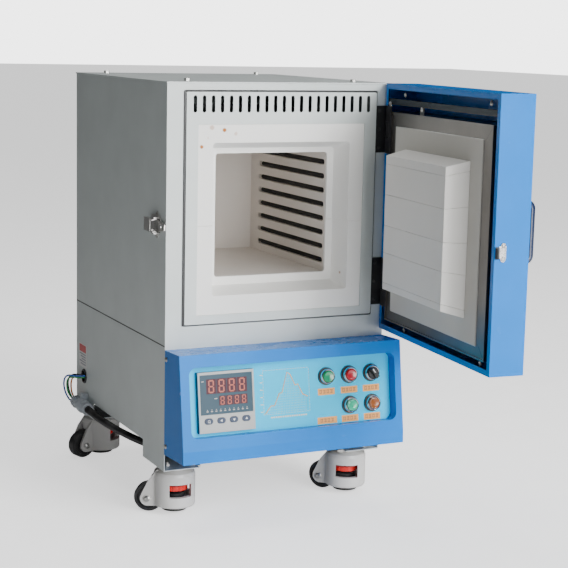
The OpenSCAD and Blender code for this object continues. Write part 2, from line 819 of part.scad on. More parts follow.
module caster_housing() {
    top = caster_h - 3.5;
    color(caster_white) {
        difference() {
            union() {
                rotate_extrude($fn = 64) polygon([[0, housing_low], [33, housing_low],
                    [housing_r, housing_low + 2], [housing_r, top - 15], [33, top - 10],
                    [25.5, top - 5], [24, top], [0, top]]);
                for (s = [-1, 1]) translate([0, s*(ear_half + slot_half)/2, 0])
                    rotate([90, 0, 0]) translate([0, 0, (slot_half - ear_half)/2])
                        linear_extrude(ear_half - slot_half) {
                            polygon([[10, top - 4], [26, top - 7], [40, top - 24],
                                [trail + 11, wheel_r + 5], [trail + 8, wheel_r - 9],
                                [trail, wheel_r - 12], [10, housing_low]]);
                            translate([trail, wheel_r]) circle(r = ear_r);
                        }
            }
            translate([0, 0, housing_low - 4]) cylinder(r = cavity_r, h = 44);
            translate([12, -slot_half, -1]) cube([70, 2*slot_half, 51]);
            for (a = [-60, 60]) rotate([0, 0, a]) translate([-50, -19, 31]) cube([40, 38, 22]);
            translate([0, 0, top - 15]) cylinder(r = 9.4, h = 4);
            translate([0, 0, top - 14]) cylinder(r = 6 + press, h = 15);
            translate([0, 0, 45]) cylinder(r = 5.4, h = 16.5);
            translate([trail, 0, wheel_r]) rotate([90, 0, 0])
                cylinder(r = axle_r, h = 60, center = true);
        }
        translate([trail, 0, wheel_r]) rotate([90, 0, 0]) {
            cylinder(r = axle_r, h = 2*ear_half, center = true);
            for (s = [-1, 1]) translate([0, 0, s*(ear_half + 1)])
                cylinder(r = axle_r + 2, h = 2, center = true);
        }
    }
}

module caster_wheel() {
    w = 21;
    color(black) translate([trail, 0, wheel_r]) rotate([90, 0, 0]) rotate_extrude($fn = 72)
        polygon([[axle_r + press, -w/2 - 1], [8, -w/2 - 1], [8, -w/2 + 2], [17, -w/2 + 2],
            [18, -w/2], [wheel_r - 2, -w/2], [wheel_r, -w/2 + 3], [wheel_r, w/2 - 3],
            [wheel_r - 2, w/2], [18, w/2], [17, w/2 - 2], [8, w/2 - 2], [8, w/2 + 1],
            [axle_r + press, w/2 + 1]]);
}

module leveling_pad() {
    color([0.12, 0.12, 0.12]) rotate_extrude($fn = 64)
        polygon([[0, 5], [20, 5], [21.5, 6.5], [21.5, 10], [19, 12], [14, 17], [5, 19],
            [5, 58], [0, 58]]);
}

module thumb_wheel() {
    color([0.85, 0.12, 0.10]) translate([0, 0, 39.5]) difference() {
        cylinder(r = thumb_r, h = 8);
        translate([0, 0, -1]) cylinder(r = 5 + press, h = 10);
        for (a = [0 : 30 : 330]) rotate([0, 0, a]) translate([thumb_r + 0.6, 0, -1])
            cylinder(r = 1.6, h = 10, $fn = 16);
    }
}

module caster_housing_fl() { caster_at(0) caster_housing(); }
module caster_housing_fr() { caster_at(1) caster_housing(); }
module caster_housing_rl() { caster_at(2) caster_housing(); }
module caster_housing_rr() { caster_at(3) caster_housing(); }
module caster_wheel_fl() { caster_at(0) caster_wheel(); }
module caster_wheel_fr() { caster_at(1) caster_wheel(); }
module caster_wheel_rl() { caster_at(2) caster_wheel(); }
module caster_wheel_rr() { caster_at(3) caster_wheel(); }
module leveling_pad_fl() { caster_at(0) leveling_pad(); }
module leveling_pad_fr() { caster_at(1) leveling_pad(); }
module leveling_pad_rl() { caster_at(2) leveling_pad(); }
module leveling_pad_rr() { caster_at(3) leveling_pad(); }
module thumb_wheel_fl() { caster_at(0) thumb_wheel(); }
module thumb_wheel_fr() { caster_at(1) thumb_wheel(); }
module thumb_wheel_rl() { caster_at(2) thumb_wheel(); }
module thumb_wheel_rr() { caster_at(3) thumb_wheel(); }

upper_casing();
top_cover();
rear_panel();
mouth_plate();
inner_shell();
insulation();
mouth_frame_upper();
mouth_frame_lower();
chamber_sides();
chamber_roof();
hearth();
chamber_back();
heating_elements();
thermocouple();
lower_chassis();
floor_pan();
control_housing();
controller_case();
switch_bodies();
lamp_lenses();
power_relay();
hinge_cabinet_halves();
latch_base();
conduit();
conduit_connectors();
wires();
case_screws();
caster_plates();
key_1();
key_2();
key_3();
key_4();
button_green();
button_red();
selector_knob();
latch_lever();
latch_hook();
door_shell();
door_frame();
door_board();
door_plug();
door_handle();
latch_keeper();
hinge_door_halves();
caster_housing_fl();
caster_wheel_fl();
leveling_pad_fl();
thumb_wheel_fl();
caster_housing_fr();
caster_wheel_fr();
leveling_pad_fr();
thumb_wheel_fr();
caster_housing_rl();
caster_wheel_rl();
leveling_pad_rl();
thumb_wheel_rl();
caster_housing_rr();
caster_wheel_rr();
leveling_pad_rr();
thumb_wheel_rr();
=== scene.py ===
import math

import bpy
from bpy.props import FloatProperty, FloatVectorProperty, IntProperty, PointerProperty
from mathutils import Matrix, Vector


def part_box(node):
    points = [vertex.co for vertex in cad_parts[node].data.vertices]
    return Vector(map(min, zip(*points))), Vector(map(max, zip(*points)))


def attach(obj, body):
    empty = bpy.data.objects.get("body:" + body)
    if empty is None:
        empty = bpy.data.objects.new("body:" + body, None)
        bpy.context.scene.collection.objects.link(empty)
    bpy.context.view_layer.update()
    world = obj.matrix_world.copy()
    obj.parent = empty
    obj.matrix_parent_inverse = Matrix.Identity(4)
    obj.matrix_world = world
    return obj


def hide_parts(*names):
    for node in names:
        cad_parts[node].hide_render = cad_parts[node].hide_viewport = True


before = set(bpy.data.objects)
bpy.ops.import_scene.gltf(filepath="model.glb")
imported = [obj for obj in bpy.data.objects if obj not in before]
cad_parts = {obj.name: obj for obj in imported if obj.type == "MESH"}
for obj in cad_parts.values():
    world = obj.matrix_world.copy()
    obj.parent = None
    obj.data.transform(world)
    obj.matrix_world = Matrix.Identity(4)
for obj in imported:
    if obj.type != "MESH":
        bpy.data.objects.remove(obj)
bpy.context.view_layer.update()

bl_info = {
    "name": "Box Kiln",
    "version": (1, 0, 0),
    "blender": (4, 5, 0),
    "location": "3D View > Sidebar > Kiln",
    "description": "Finishes a pottery kiln around its CAD frame",
    "category": "Object",
}

MM = 0.001
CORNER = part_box("upper_casing")[0]     # front left corner of the cabinet at its seam
FACE_TOP = (-61.5, -2.6)               # upper edge of the slanted panel, y and z
FACE_TILT = math.pi / 2 - math.atan2(21.5, 149.4)
RECESS = 20.0                          # depth of the panel's recess
HINGE = (387.0, -10.0)                 # the door's axis, x and y
DOOR_OPEN = math.radians(85.2)
DOOR_MIDDLE = (196.0, -5.5, 212.5)     # middle of the door at its lip
DOOR_INSIDE = (186.2, 195.7)           # half width and height inside its rim
COLUMNS = (262.0, 304.0, 345.0)        # the switches, across the panel and down its slope
ROWS = (52.0, 102.0)
KEY_X = (49.5, 71.0, 92.5, 114.0)      # the keys, across the panel and down its slope
KEY_S = 107.0
CASTERS = {"fl": (37, 48, 149), "fr": (355, 48, 127.5),    # x, y and the way it trails
           "rl": (37, 424, 194), "rr": (355, 424, 160)}
FLOOR_Z = -288.0
TRAIL = 42.0                           # from the swivel axis to the axle
WHEEL_R = 24.0
RUST_SPOTS = ((95.5, 342, 3.4, 1.0), (74, 346, 3.8, 0.5), (115, 336, 3.0, 0.4),
              (57, 316, 3.0, 1.0), (68, 330, 2.0, 0.3))    # x, z, radius and depth of colour
LATCH_Z = 190.5
ELEMENT_X = (91.2, 300.8)
ELEMENT_LOW, ELEMENT_PITCH = 120.0, 23.5


# ---------- places ----------

def at(x, y, z):
    """A place given in the cabinet's millimetres, as metres in the frame."""
    return CORNER + Vector((x, y, z)) * MM


def move_to(x, y, z):
    return Matrix.Translation(at(x, y, z))


def turned_by(degrees, axis):
    return Matrix.Rotation(math.radians(degrees), 4, axis)


def on_panel(x, s, depth=RECESS):
    """Stands a piece on the slanted panel: x across, y up the slope, z outwards."""
    return (move_to(x, FACE_TOP[0], FACE_TOP[1]) @ Matrix.Rotation(FACE_TILT, 4, "X")
            @ Matrix.Translation(Vector((0, -s, -depth)) * MM))


def on_open_door():
    """Turns what is drawn on the closed door to where the door stands."""
    hinge = move_to(HINGE[0], HINGE[1], 0)
    return hinge @ Matrix.Rotation(DOOR_OPEN, 4, "Z") @ hinge.inverted()


def at_axle(corner, along):
    """A place on a caster's axle, some millimetres from its middle."""
    return at_caster(corner) @ Matrix.Translation(Vector((TRAIL, along, WHEEL_R)) * MM)


def at_caster(corner):
    x, y, trail = CASTERS[corner]
    return move_to(x, y, FLOOR_Z) @ turned_by(trail, "Z")


# ---------- modelling helpers ----------

def start_clean():
    if bpy.context.object and bpy.context.object.mode != "OBJECT":
        bpy.ops.object.mode_set(mode="OBJECT")
    bpy.ops.object.select_all(action="DESELECT")


def point_outwards(piece):
    take(piece)
    bpy.ops.object.mode_set(mode="EDIT")
    bpy.ops.mesh.select_all(action="SELECT")
    bpy.ops.mesh.normals_make_consistent(inside=False)
    bpy.ops.object.mode_set(mode="OBJECT")
    return piece


def take(piece):
    start_clean()
    piece.select_set(True)
    bpy.context.view_layer.objects.active = piece


def write_place(piece, place=None):
    """Writes a piece's place into its mesh, so that its object sits at the origin."""
    take(piece)
    if place is not None:
        piece.matrix_world = place @ piece.matrix_world
    bpy.ops.object.transform_apply(location=True, rotation=True, scale=True)
    return piece


def on_cabinet(piece):
    return write_place(piece, move_to(0, 0, 0))


def on_door(piece):
    """Places what is drawn in the cabinet's millimetres with the door closed."""
    return write_place(piece, on_open_door() @ move_to(0, 0, 0))


def on_film(piece):
    return write_place(piece, on_panel(0, 0))


def apply_modifier(piece, kind, **settings):
    take(piece)
    modifier = piece.modifiers.new(kind.lower(), kind)
    for key, value in settings.items():
        setattr(modifier, key, value)
    bpy.ops.object.modifier_apply(modifier=modifier.name)
    return piece


def round_edges(piece, width, segments=2, angle=35):
    return apply_modifier(piece, "BEVEL", width=width * MM, segments=segments,
                          limit_method="ANGLE", angle_limit=math.radians(angle))


def soften(piece, angle=35):
    take(piece)
    bpy.ops.object.shade_smooth_by_angle(angle=math.radians(angle))
    return piece


def block(name, low, high, rounding=0.4, segments=2):
    """A box between two corners in millimetres, with rounded edges, at the world's origin."""
    low, high = Vector(low) * MM, Vector(high) * MM
    start_clean()
    bpy.ops.mesh.primitive_cube_add(size=1, location=(low + high) / 2)
    piece = bpy.context.object
    piece.name = name
    piece.scale = high - low
    write_place(piece)
    if rounding:
        round_edges(piece, rounding, segments)
    return piece


def turned(name, profile, sides=32, closed=True):
    """A turned piece around z: a disc extruded and scaled from step to step of (radius, z)."""
    start_clean()
    radius, low = profile[0]
    bpy.ops.mesh.primitive_circle_add(vertices=sides, radius=radius * MM,
                                      fill_type="NGON" if closed else "NOTHING",
                                      location=(0, 0, low * MM))
    piece = bpy.context.object
    piece.name = name
    write_place(piece)
    bpy.ops.object.mode_set(mode="EDIT")
    bpy.ops.mesh.select_all(action="SELECT")
    for next_radius, z in profile[1:]:
        move = {"value": (0, 0, (z - low) * MM)}
        if closed:
            bpy.ops.mesh.extrude_region_move(TRANSFORM_OT_translate=move)
        else:
            bpy.ops.mesh.extrude_edges_move(TRANSFORM_OT_translate=move)
        k = next_radius / radius
        bpy.ops.transform.resize(value=(k, k, 1), center_override=(0, 0, z * MM))
        radius, low = next_radius, z
    bpy.ops.mesh.select_all(action="SELECT")
    bpy.ops.mesh.remove_doubles(threshold=1e-6)
    bpy.ops.mesh.normals_make_consistent(inside=False)
    bpy.ops.object.mode_set(mode="OBJECT")
    return soften(piece)


def wire_circle(name, radius, reach, sides, turn=math.pi / 2):
    """A bare circle that stands upright, its middle a given reach from the z axis."""
    start_clean()
    bpy.ops.mesh.primitive_circle_add(vertices=sides, radius=radius * MM, fill_type="NOTHING",
                                      location=(reach * MM, 0, 0),
                                      rotation=(math.pi / 2, turn, 0))
    piece = bpy.context.object
    piece.name = name
    return write_place(piece)


def round_ring(name, major, minor, sides=48, tube=12):
    """A ring of round section around z, swept from one circle."""
    piece = wire_circle(name, minor, major, tube)
    apply_modifier(piece, "SCREW", angle=2 * math.pi, screw_offset=0, steps=sides,
                   render_steps=sides, axis="Z", use_merge_vertices=True,
                   merge_threshold=1e-6, use_smooth_shade=True)
    point_outwards(piece)
    return piece


def join(name, parts):
    start_clean()
    for part in parts:
        part.select_set(True)
    bpy.context.view_layer.objects.active = parts[0]
    if len(parts) > 1:
        bpy.ops.object.join()
    parts[0].name = name
    return parts[0]


def copies(piece, places):
    """Copies a piece to each place, each copy with its own mesh, and joins them."""
    made = []
    for place in places:
        twin = piece.copy()
        twin.data = piece.data.copy()
        bpy.context.scene.collection.objects.link(twin)
        made.append(write_place(twin, place))
    name = piece.name
    bpy.data.objects.remove(piece)
    return join(name, made)


def tube_along(name, points, radius, swell=None, sides=4):
    """A round tube along points in metres; swell(i) scales the radius at point i."""
    curve = bpy.data.curves.new(name, "CURVE")
    curve.dimensions = "3D"
    curve.bevel_depth = radius * MM
    curve.bevel_resolution = sides
    curve.use_fill_caps = True
    line = curve.splines.new("POLY")
    line.points.add(len(points) - 1)
    for i, point in enumerate(points):
        line.points[i].co = (*point, 1)
        line.points[i].radius = swell(i) if swell else 1
    piece = bpy.data.objects.new(name, curve)
    bpy.context.scene.collection.objects.link(piece)
    take(piece)
    bpy.ops.object.convert(target="MESH")
    piece = bpy.context.object
    bpy.ops.object.shade_smooth()
    return piece


def smooth_route(route, steps):
    """Points of a smooth curve through the route's own points."""
    points = []
    last = len(route) - 1
    for i in range(last):
        a, b, c, d = (Vector(route[k]) for k in (max(i - 1, 0), i, i + 1, min(i + 2, last)))
        for k in range(steps):
            t = k / steps
            points.append(0.5 * ((2 * b) + (c - a) * t + (2 * a - 5 * b + 4 * c - d) * t * t
                                 + (3 * b - a - 3 * c + d) * t ** 3))
    points.append(Vector(route[last]))
    return [at(*p) for p in points]


def finish_piece(piece, body, material):
    piece.data.materials.clear()
    piece.data.materials.append(material)
    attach(piece, body)
    return piece


# ---------- shader groups ----------

def new_group(name, inputs, outputs):
    tree = bpy.data.node_groups.new(name, "ShaderNodeTree")
    for label, value in inputs.items():
        socket = tree.interface.new_socket(label, in_out="INPUT", socket_type="NodeSocketFloat")
        socket.default_value = value
    for label in outputs:
        tree.interface.new_socket(label, in_out="OUTPUT", socket_type="NodeSocketFloat")
    return tree, tree.nodes.new("NodeGroupInput"), tree.nodes.new("NodeGroupOutput")


def add_math(tree, operation, a, b=None, clamp=False):
    node = tree.nodes.new("ShaderNodeMath")
    node.operation = operation
    node.use_clamp = clamp
    for i, value in enumerate((a, b)):
        if value is None:
            continue
        if isinstance(value, (int, float)):
            node.inputs[i].default_value = value
        else:
            tree.links.new(value, node.inputs[i])
    return node.outputs[0]


def add_noise(tree, vector, scale, detail=4.0, roughness=0.55):
    node = tree.nodes.new("ShaderNodeTexNoise")
    node.inputs["Detail"].default_value = detail
    node.inputs["Roughness"].default_value = roughness
    if isinstance(scale, (int, float)):
        node.inputs["Scale"].default_value = scale
    else:
        tree.links.new(scale, node.inputs["Scale"])
    tree.links.new(vector, node.inputs["Vector"])
    return node.outputs["Fac"]


def add_ramp(tree, value, low, high):
    node = tree.nodes.new("ShaderNodeMapRange")
    node.interpolation_type = "SMOOTHSTEP"
    node.inputs["From Min"].default_value = low
    node.inputs["From Max"].default_value = high
    tree.links.new(value, node.inputs["Value"])
    return node.outputs["Result"]


def object_place(tree):
    return tree.nodes.new("ShaderNodeTexCoord").outputs["Object"]


def make_grain_group():
    """Orange-peel texture of paint and moulded plastic."""
    tree, given, out = new_group("fine grain", {"Scale": 900.0}, ("Mask", "Height"))
    place = object_place(tree)
    fine = add_noise(tree, place, given.outputs["Scale"], 3.0)
    broad = add_noise(tree, place, 14.0, 3.0)
    tree.links.new(broad, out.inputs["Mask"])
    tree.links.new(fine, out.inputs["Height"])
    return tree


def make_wear_group():
    """Rubbed and chipped edges, broken up by noise."""
    tree, given, out = new_group("worn edges", {"Width": 0.0012}, ("Mask",))
    bevel = tree.nodes.new("ShaderNodeBevel")
    bevel.samples = 4
    tree.links.new(given.outputs["Width"], bevel.inputs["Radius"])
    surface = tree.nodes.new("ShaderNodeNewGeometry")
    dot = tree.nodes.new("ShaderNodeVectorMath")
    dot.operation = "DOT_PRODUCT"
    tree.links.new(bevel.outputs["Normal"], dot.inputs[0])
    tree.links.new(surface.outputs["Normal"], dot.inputs[1])
    edge = add_math(tree, "SUBTRACT", 1.0, dot.outputs["Value"], clamp=True)
    edge = add_ramp(tree, edge, 0.02, 0.22)
    patchy = add_ramp(tree, add_noise(tree, object_place(tree), 60.0, 5.0, 0.7), 0.38, 0.66)
    tree.links.new(add_math(tree, "MULTIPLY", edge, patchy), out.inputs["Mask"])
    return tree


def make_dust_group():
    """Dust settled on faces that look up, and faint smears elsewhere."""
    tree, given, out = new_group("settled dust", {"Scale": 18.0}, ("Mask",))
    surface = tree.nodes.new("ShaderNodeNewGeometry")
    split = tree.nodes.new("ShaderNodeSeparateXYZ")
    tree.links.new(surface.outputs["Normal"], split.inputs[0])
    up = add_ramp(tree, split.outputs["Z"], 0.2, 1.0)
    lifted = add_math(tree, "ADD", add_math(tree, "MULTIPLY", up, 0.8), 0.25, clamp=True)
    smear = add_ramp(tree, add_noise(tree, object_place(tree), given.outputs["Scale"], 6.0, 0.65),
                     0.42, 0.78)
    tree.links.new(add_math(tree, "MULTIPLY", lifted, smear), out.inputs["Mask"])
    return tree


def make_brushed_group():
    """Fine lines of rolled or brushed metal along one axis."""
    tree, given, out = new_group("brushed lines", {"Scale": 1.0}, ("Mask", "Height"))
    stretch = tree.nodes.new("ShaderNodeMapping")
    stretch.inputs["Scale"].default_value = (900, 900, 12)
    tree.links.new(object_place(tree), stretch.inputs["Vector"])
    lines = add_noise(tree, stretch.outputs["Vector"], given.outputs["Scale"], 4.0)
    cloudy = add_noise(tree, object_place(tree), 22.0, 5.0)
    tree.links.new(add_math(tree, "MULTIPLY", lines, cloudy), out.inputs["Mask"])
    tree.links.new(lines, out.inputs["Height"])
    return tree


def make_fibre_group():
    """Felted ceramic fibre: mottling, short fibres, pits and a few rusty specks."""
    tree, given, out = new_group("felted fibre", {"Scale": 1.0}, ("Mottle", "Specks", "Height"))
    place = object_place(tree)
    mottle = add_noise(tree, place, 9.0, 6.0, 0.6)
    fibres = tree.nodes.new("ShaderNodeTexVoronoi")
    fibres.feature = "DISTANCE_TO_EDGE"
    fibres.inputs["Scale"].default_value = 420.0
    tree.links.new(place, fibres.inputs["Vector"])
    weave = add_noise(tree, place, 700.0, 5.0, 0.7)
    cells = add_math(tree, "MULTIPLY", fibres.outputs["Distance"], 0.8)
    height = add_math(tree, "ADD", weave, cells)
    pits = tree.nodes.new("ShaderNodeTexVoronoi")
    pits.inputs["Scale"].default_value = 26.0
    tree.links.new(place, pits.inputs["Vector"])
    specks = add_ramp(tree, pits.outputs["Distance"], 0.085, 0.02)
    rare = add_ramp(tree, add_noise(tree, place, 6.5, 2.0), 0.60, 0.66)
    tree.links.new(mottle, out.inputs["Mottle"])
    tree.links.new(add_math(tree, "MULTIPLY", specks, rare), out.inputs["Specks"])
    tree.links.new(height, out.inputs["Height"])
    return tree


GROUPS = {}
MATERIALS = {}


def made_once(maker):
    """Keeps what a maker gives for a name, so that each material is made only once."""
    def give(name, *values, **settings):
        if name not in MATERIALS:
            MATERIALS[name] = maker(name, *values, **settings)
        return MATERIALS[name]
    return give


def shader_group(name):
    makers = {"fine grain": make_grain_group, "worn edges": make_wear_group,
              "settled dust": make_dust_group, "brushed lines": make_brushed_group,
              "felted fibre": make_fibre_group}
    if name not in GROUPS:
        GROUPS[name] = makers[name]()
    return GROUPS[name]


def place_group(tree, name, **values):
    node = tree.nodes.new("ShaderNodeGroup")
    node.node_tree = shader_group(name)
    for key, value in values.items():
        node.inputs[key].default_value = value
    return node


def mix_colour(tree, mask, under, over, amount=1.0):
    """Blends a colour over another by a mask; under is a socket or a colour."""
    node = tree.nodes.new("ShaderNodeMix")
    node.data_type = "RGBA"
    factor = add_math(tree, "MULTIPLY", mask, amount, clamp=True)
    tree.links.new(factor, node.inputs["Factor"])
    for value, socket in ((under, node.inputs["A"]), (over, node.inputs["B"])):
        if isinstance(value, (tuple, list)):
            socket.default_value = (*value, 1)
        else:
            tree.links.new(value, socket)
    return node.outputs["Result"]


def shade(colour, k):
    return tuple(min(1.0, c * k) for c in colour)


def add_bump(tree, shader, height, strength, distance):
    bump = tree.nodes.new("ShaderNodeBump")
    bump.inputs["Strength"].default_value = strength
    bump.inputs["Distance"].default_value = distance * MM
    tree.links.new(height, bump.inputs["Height"])
    tree.links.new(bump.outputs["Normal"], shader.inputs["Normal"])


def new_material(name):
    material = bpy.data.materials.new(name)
    material.use_nodes = True
    return material, material.node_tree, material.node_tree.nodes["Principled BSDF"]


def vary_roughness(tree, shader, mask, roughness, spread):
    value = add_math(tree, "ADD", add_math(tree, "MULTIPLY", mask, spread), roughness - spread / 2,
                     clamp=True)
    tree.links.new(value, shader.inputs["Roughness"])


@made_once
def coated(name, colour, roughness=0.45, metallic=0.0, grain=900.0, bump=0.25, wear=0.5,
           worn=(0.45, 0.45, 0.43), dust=0.25, coat=0.0, width=0.0012, sheen=0.5):
    """Paint or plastic: grain, tonal drift, rubbed edges and a little dust."""
    material, tree, shader = new_material(name)
    fine = place_group(tree, "fine grain", Scale=grain)
    tone = mix_colour(tree, fine.outputs["Mask"], shade(colour, 0.90), shade(colour, 1.10))
    dusty = place_group(tree, "settled dust")
    tone = mix_colour(tree, dusty.outputs["Mask"], tone, (0.55, 0.53, 0.50), dust)
    if wear:
        edges = place_group(tree, "worn edges", Width=width)
        tone = mix_colour(tree, edges.outputs["Mask"], tone, worn, wear)
    tree.links.new(tone, shader.inputs["Base Color"])
    vary_roughness(tree, shader, dusty.outputs["Mask"], roughness, 0.2)
    shader.inputs["Metallic"].default_value = metallic
    shader.inputs["Specular IOR Level"].default_value = sheen
    shader.inputs["Coat Weight"].default_value = coat
    shader.inputs["Coat Roughness"].default_value = 0.12
    add_bump(tree, shader, fine.outputs["Height"], bump, 0.12)
    return material


@made_once
def sheet_metal(name, colour, roughness=0.32, bump=0.2, stain=0.35):
    """Bare sheet metal with rolling lines, clouding and handling stains."""
    material, tree, shader = new_material(name)
    lines = place_group(tree, "brushed lines")
    tone = mix_colour(tree, lines.outputs["Mask"], shade(colour, 0.72), shade(colour, 1.2), 1.6)
    smears = place_group(tree, "settled dust", Scale=9.0)
    tone = mix_colour(tree, smears.outputs["Mask"], tone, (0.24, 0.21, 0.18), stain)
    tree.links.new(tone, shader.inputs["Base Color"])
    vary_roughness(tree, shader, lines.outputs["Height"], roughness, 0.25)
    shader.inputs["Metallic"].default_value = 1.0
    add_bump(tree, shader, lines.outputs["Height"], bump, 0.05)
    return material


@made_once
def fibre_board(name, colour, warm, bump=0.5, stain=0.35):
    """Ceramic fibre with mottling, specks and heat staining."""
    material, tree, shader = new_material(name)
    felt = place_group(tree, "felted fibre")
    tone = mix_colour(tree, felt.outputs["Mottle"], colour, warm, stain)
    tone = mix_colour(tree, felt.outputs["Specks"], tone, (0.32, 0.13, 0.05), 0.8)
    edges = place_group(tree, "worn edges", Width=0.002)
    tone = mix_colour(tree, edges.outputs["Mask"], tone, shade(warm, 0.82), 0.45)
    tree.links.new(tone, shader.inputs["Base Color"])
    vary_roughness(tree, shader, felt.outputs["Mottle"], 0.92, 0.1)
    shader.inputs["Specular IOR Level"].default_value = 0.25
    add_bump(tree, shader, felt.outputs["Height"], bump, 0.35)
    return material


@made_once
def glowing(name, colour, strength):
    """A lit segment or printed mark that gives a little light."""
    material, tree, shader = new_material(name)
    fine = place_group(tree, "fine grain", Scale=2500.0)
    tone = mix_colour(tree, fine.outputs["Height"], shade(colour, 0.8), shade(colour, 1.15))
    tree.links.new(tone, shader.inputs["Base Color"])
    tree.links.new(tone, shader.inputs["Emission Color"])
    shader.inputs["Emission Strength"].default_value = strength
    shader.inputs["Roughness"].default_value = 0.35
    return material


@made_once
def lens_glass(name, colour, roughness=0.12):
    """Tinted moulded lens over a lamp."""
    material, tree, shader = new_material(name)
    fine = place_group(tree, "fine grain", Scale=500.0)
    tone = mix_colour(tree, fine.outputs["Mask"], shade(colour, 0.75), shade(colour, 1.25))
    tree.links.new(tone, shader.inputs["Base Color"])
    tree.links.new(tone, shader.inputs["Emission Color"])
    # faint emission; on the button faces, which share this material, the glow is painted light,
    # since no lamp is behind them
    shader.inputs["Emission Strength"].default_value = 0.12
    shader.inputs["Roughness"].default_value = roughness
    shader.inputs["Coat Weight"].default_value = 0.8
    add_bump(tree, shader, fine.outputs["Height"], 0.15, 0.1)
    return material


# ---------- settings ----------

class KilnColours(bpy.types.PropertyGroup):
    cabinet: FloatVectorProperty(name="Cabinet", description="Grey coat of the casing",
                                 subtype="COLOR", default=(0.60, 0.65, 0.64))
    blue: FloatVectorProperty(name="Blue", description="Coat of the door and the control housing",
                              subtype="COLOR", default=(0.0, 0.185, 0.62))
    overlay: FloatVectorProperty(name="Overlay", description="Film on the control panel",
                                 subtype="COLOR", default=(0.0, 0.60, 1.0))
    fibre: FloatVectorProperty(name="Fibre", description="Ceramic fibre board",
                               subtype="COLOR", default=(0.92, 0.92, 0.90))
    caster: FloatVectorProperty(name="Caster", description="Coat of the caster housings",
                                subtype="COLOR", default=(0.60, 0.59, 0.57))


class KilnSizes(bpy.types.PropertyGroup):
    coil_pitch: FloatProperty(name="Coil pitch", default=2.8, min=2.0, max=6.0,
                              description="Spacing of the element's turns in mm")
    coil_wire: FloatProperty(name="Coil wire", description="Radius of the element wire in mm",
                             default=0.75, min=0.4, max=1.2)
    digits: IntProperty(name="Digits", description="Figures in each row of the display",
                        default=4, min=1, max=4)
    key_light: FloatProperty(name="Key light", description="Power of the main softbox",
                             default=150.0, min=1.0, unit="POWER")


def colours():
    return bpy.context.scene.kiln_colours


def sizes():
    return bpy.context.scene.kiln_sizes


# ---------- finishes by name ----------

def cabinet_paint():
    return coated("cabinet paint", tuple(colours().cabinet), 0.42, bump=0.3, wear=0.35,
                  worn=(0.72, 0.72, 0.70))


def blue_paint():
    return coated("blue paint", tuple(colours().blue), 0.34, bump=0.3, wear=0.4,
                  worn=(0.06, 0.32, 0.80), dust=0.02, sheen=0.15)


def door_paint_with_rim_shade():
    """Blue outside; near black inside the door's rim, a painted shade where the rim's inner faces
    lie in shadow.
    """
    material = blue_paint().copy()
    material.name = "door paint with rim shade"
    tree = material.node_tree
    shader = tree.nodes["Principled BSDF"]
    to_door = on_open_door() @ move_to(*DOOR_MIDDLE)
    turn = tree.nodes.new("ShaderNodeMapping")
    turn.inputs["Rotation"].default_value = (0, 0, -DOOR_OPEN)
    turn.inputs["Location"].default_value = to_door.inverted().translation
    tree.links.new(object_place(tree), turn.inputs["Vector"])
    split = tree.nodes.new("ShaderNodeSeparateXYZ")
    tree.links.new(turn.outputs["Vector"], split.inputs[0])
    mask = 1.0
    for axis, half in zip("XZ", DOOR_INSIDE):
        reach = add_math(tree, "ABSOLUTE", split.outputs[axis])
        inside = add_ramp(tree, reach, (half + 0.2) * MM, (half - 0.2) * MM)
        mask = add_math(tree, "MULTIPLY", inside, mask)
    behind = add_ramp(tree, split.outputs["Y"], 0.6 * MM, -0.4 * MM)
    ahead = add_ramp(tree, split.outputs["Y"], -50 * MM, -49 * MM)
    mask = add_math(tree, "MULTIPLY", add_math(tree, "MULTIPLY", mask, behind), ahead)
    base = shader.inputs["Base Color"].links[0].from_socket
    # painted shade: the near black colour over the inside of the rim stands in for the shadow
    # there
    tone = mix_colour(tree, mask, base, (0.004, 0.012, 0.022))
    tree.links.new(tone, shader.inputs["Base Color"])
    return material


def grey_plastic():
    return coated("grey plastic", (0.46, 0.50, 0.54), 0.45, wear=0.3, worn=(0.7, 0.7, 0.7))


def white_print():
    return coated("white print", (0.80, 0.82, 0.84), 0.4, grain=2400.0, wear=0, dust=0.02)


def black_plastic():
    return coated("black plastic", (0.018, 0.018, 0.02), 0.42, wear=0.35,
                  worn=(0.12, 0.12, 0.12), dust=0.12, width=0.0006)


def dark_metal():
    return coated("dark metal", (0.022, 0.023, 0.026), 0.5, 0.3, wear=0.4,
                  worn=(0.2, 0.2, 0.2), dust=0.2)


def stainless():
    return sheet_metal("stainless", (0.60, 0.59, 0.57), 0.30)


def tray_steel():
    return sheet_metal("tray steel", (0.17, 0.16, 0.15), 0.36, bump=0.3, stain=0.5)


def chrome():
    return sheet_metal("polished rings", (0.82, 0.82, 0.84), 0.14, bump=0.05, stain=0.08)


def zinc():
    return sheet_metal("zinc plate", (0.55, 0.55, 0.53), 0.38)


def mouth_fibre():
    return fibre_board("mouth fibre", tuple(colours().fibre), (0.78, 0.76, 0.71))


# painted shade: the door's board uses a darker copy of the mouth's fibre, darkened for the shade
# on the open door
def door_fibre_with_painted_shade():
    return fibre_board("door fibre", (0.60, 0.59, 0.55), (0.53, 0.50, 0.45), 0.6, 0.5)


# painted shade: the plug's fibre is also darker than the mouth's, though less so than the board's
def plug_fibre():
    return fibre_board("plug fibre", (0.80, 0.79, 0.76), (0.72, 0.70, 0.66), 0.5, 0.5)


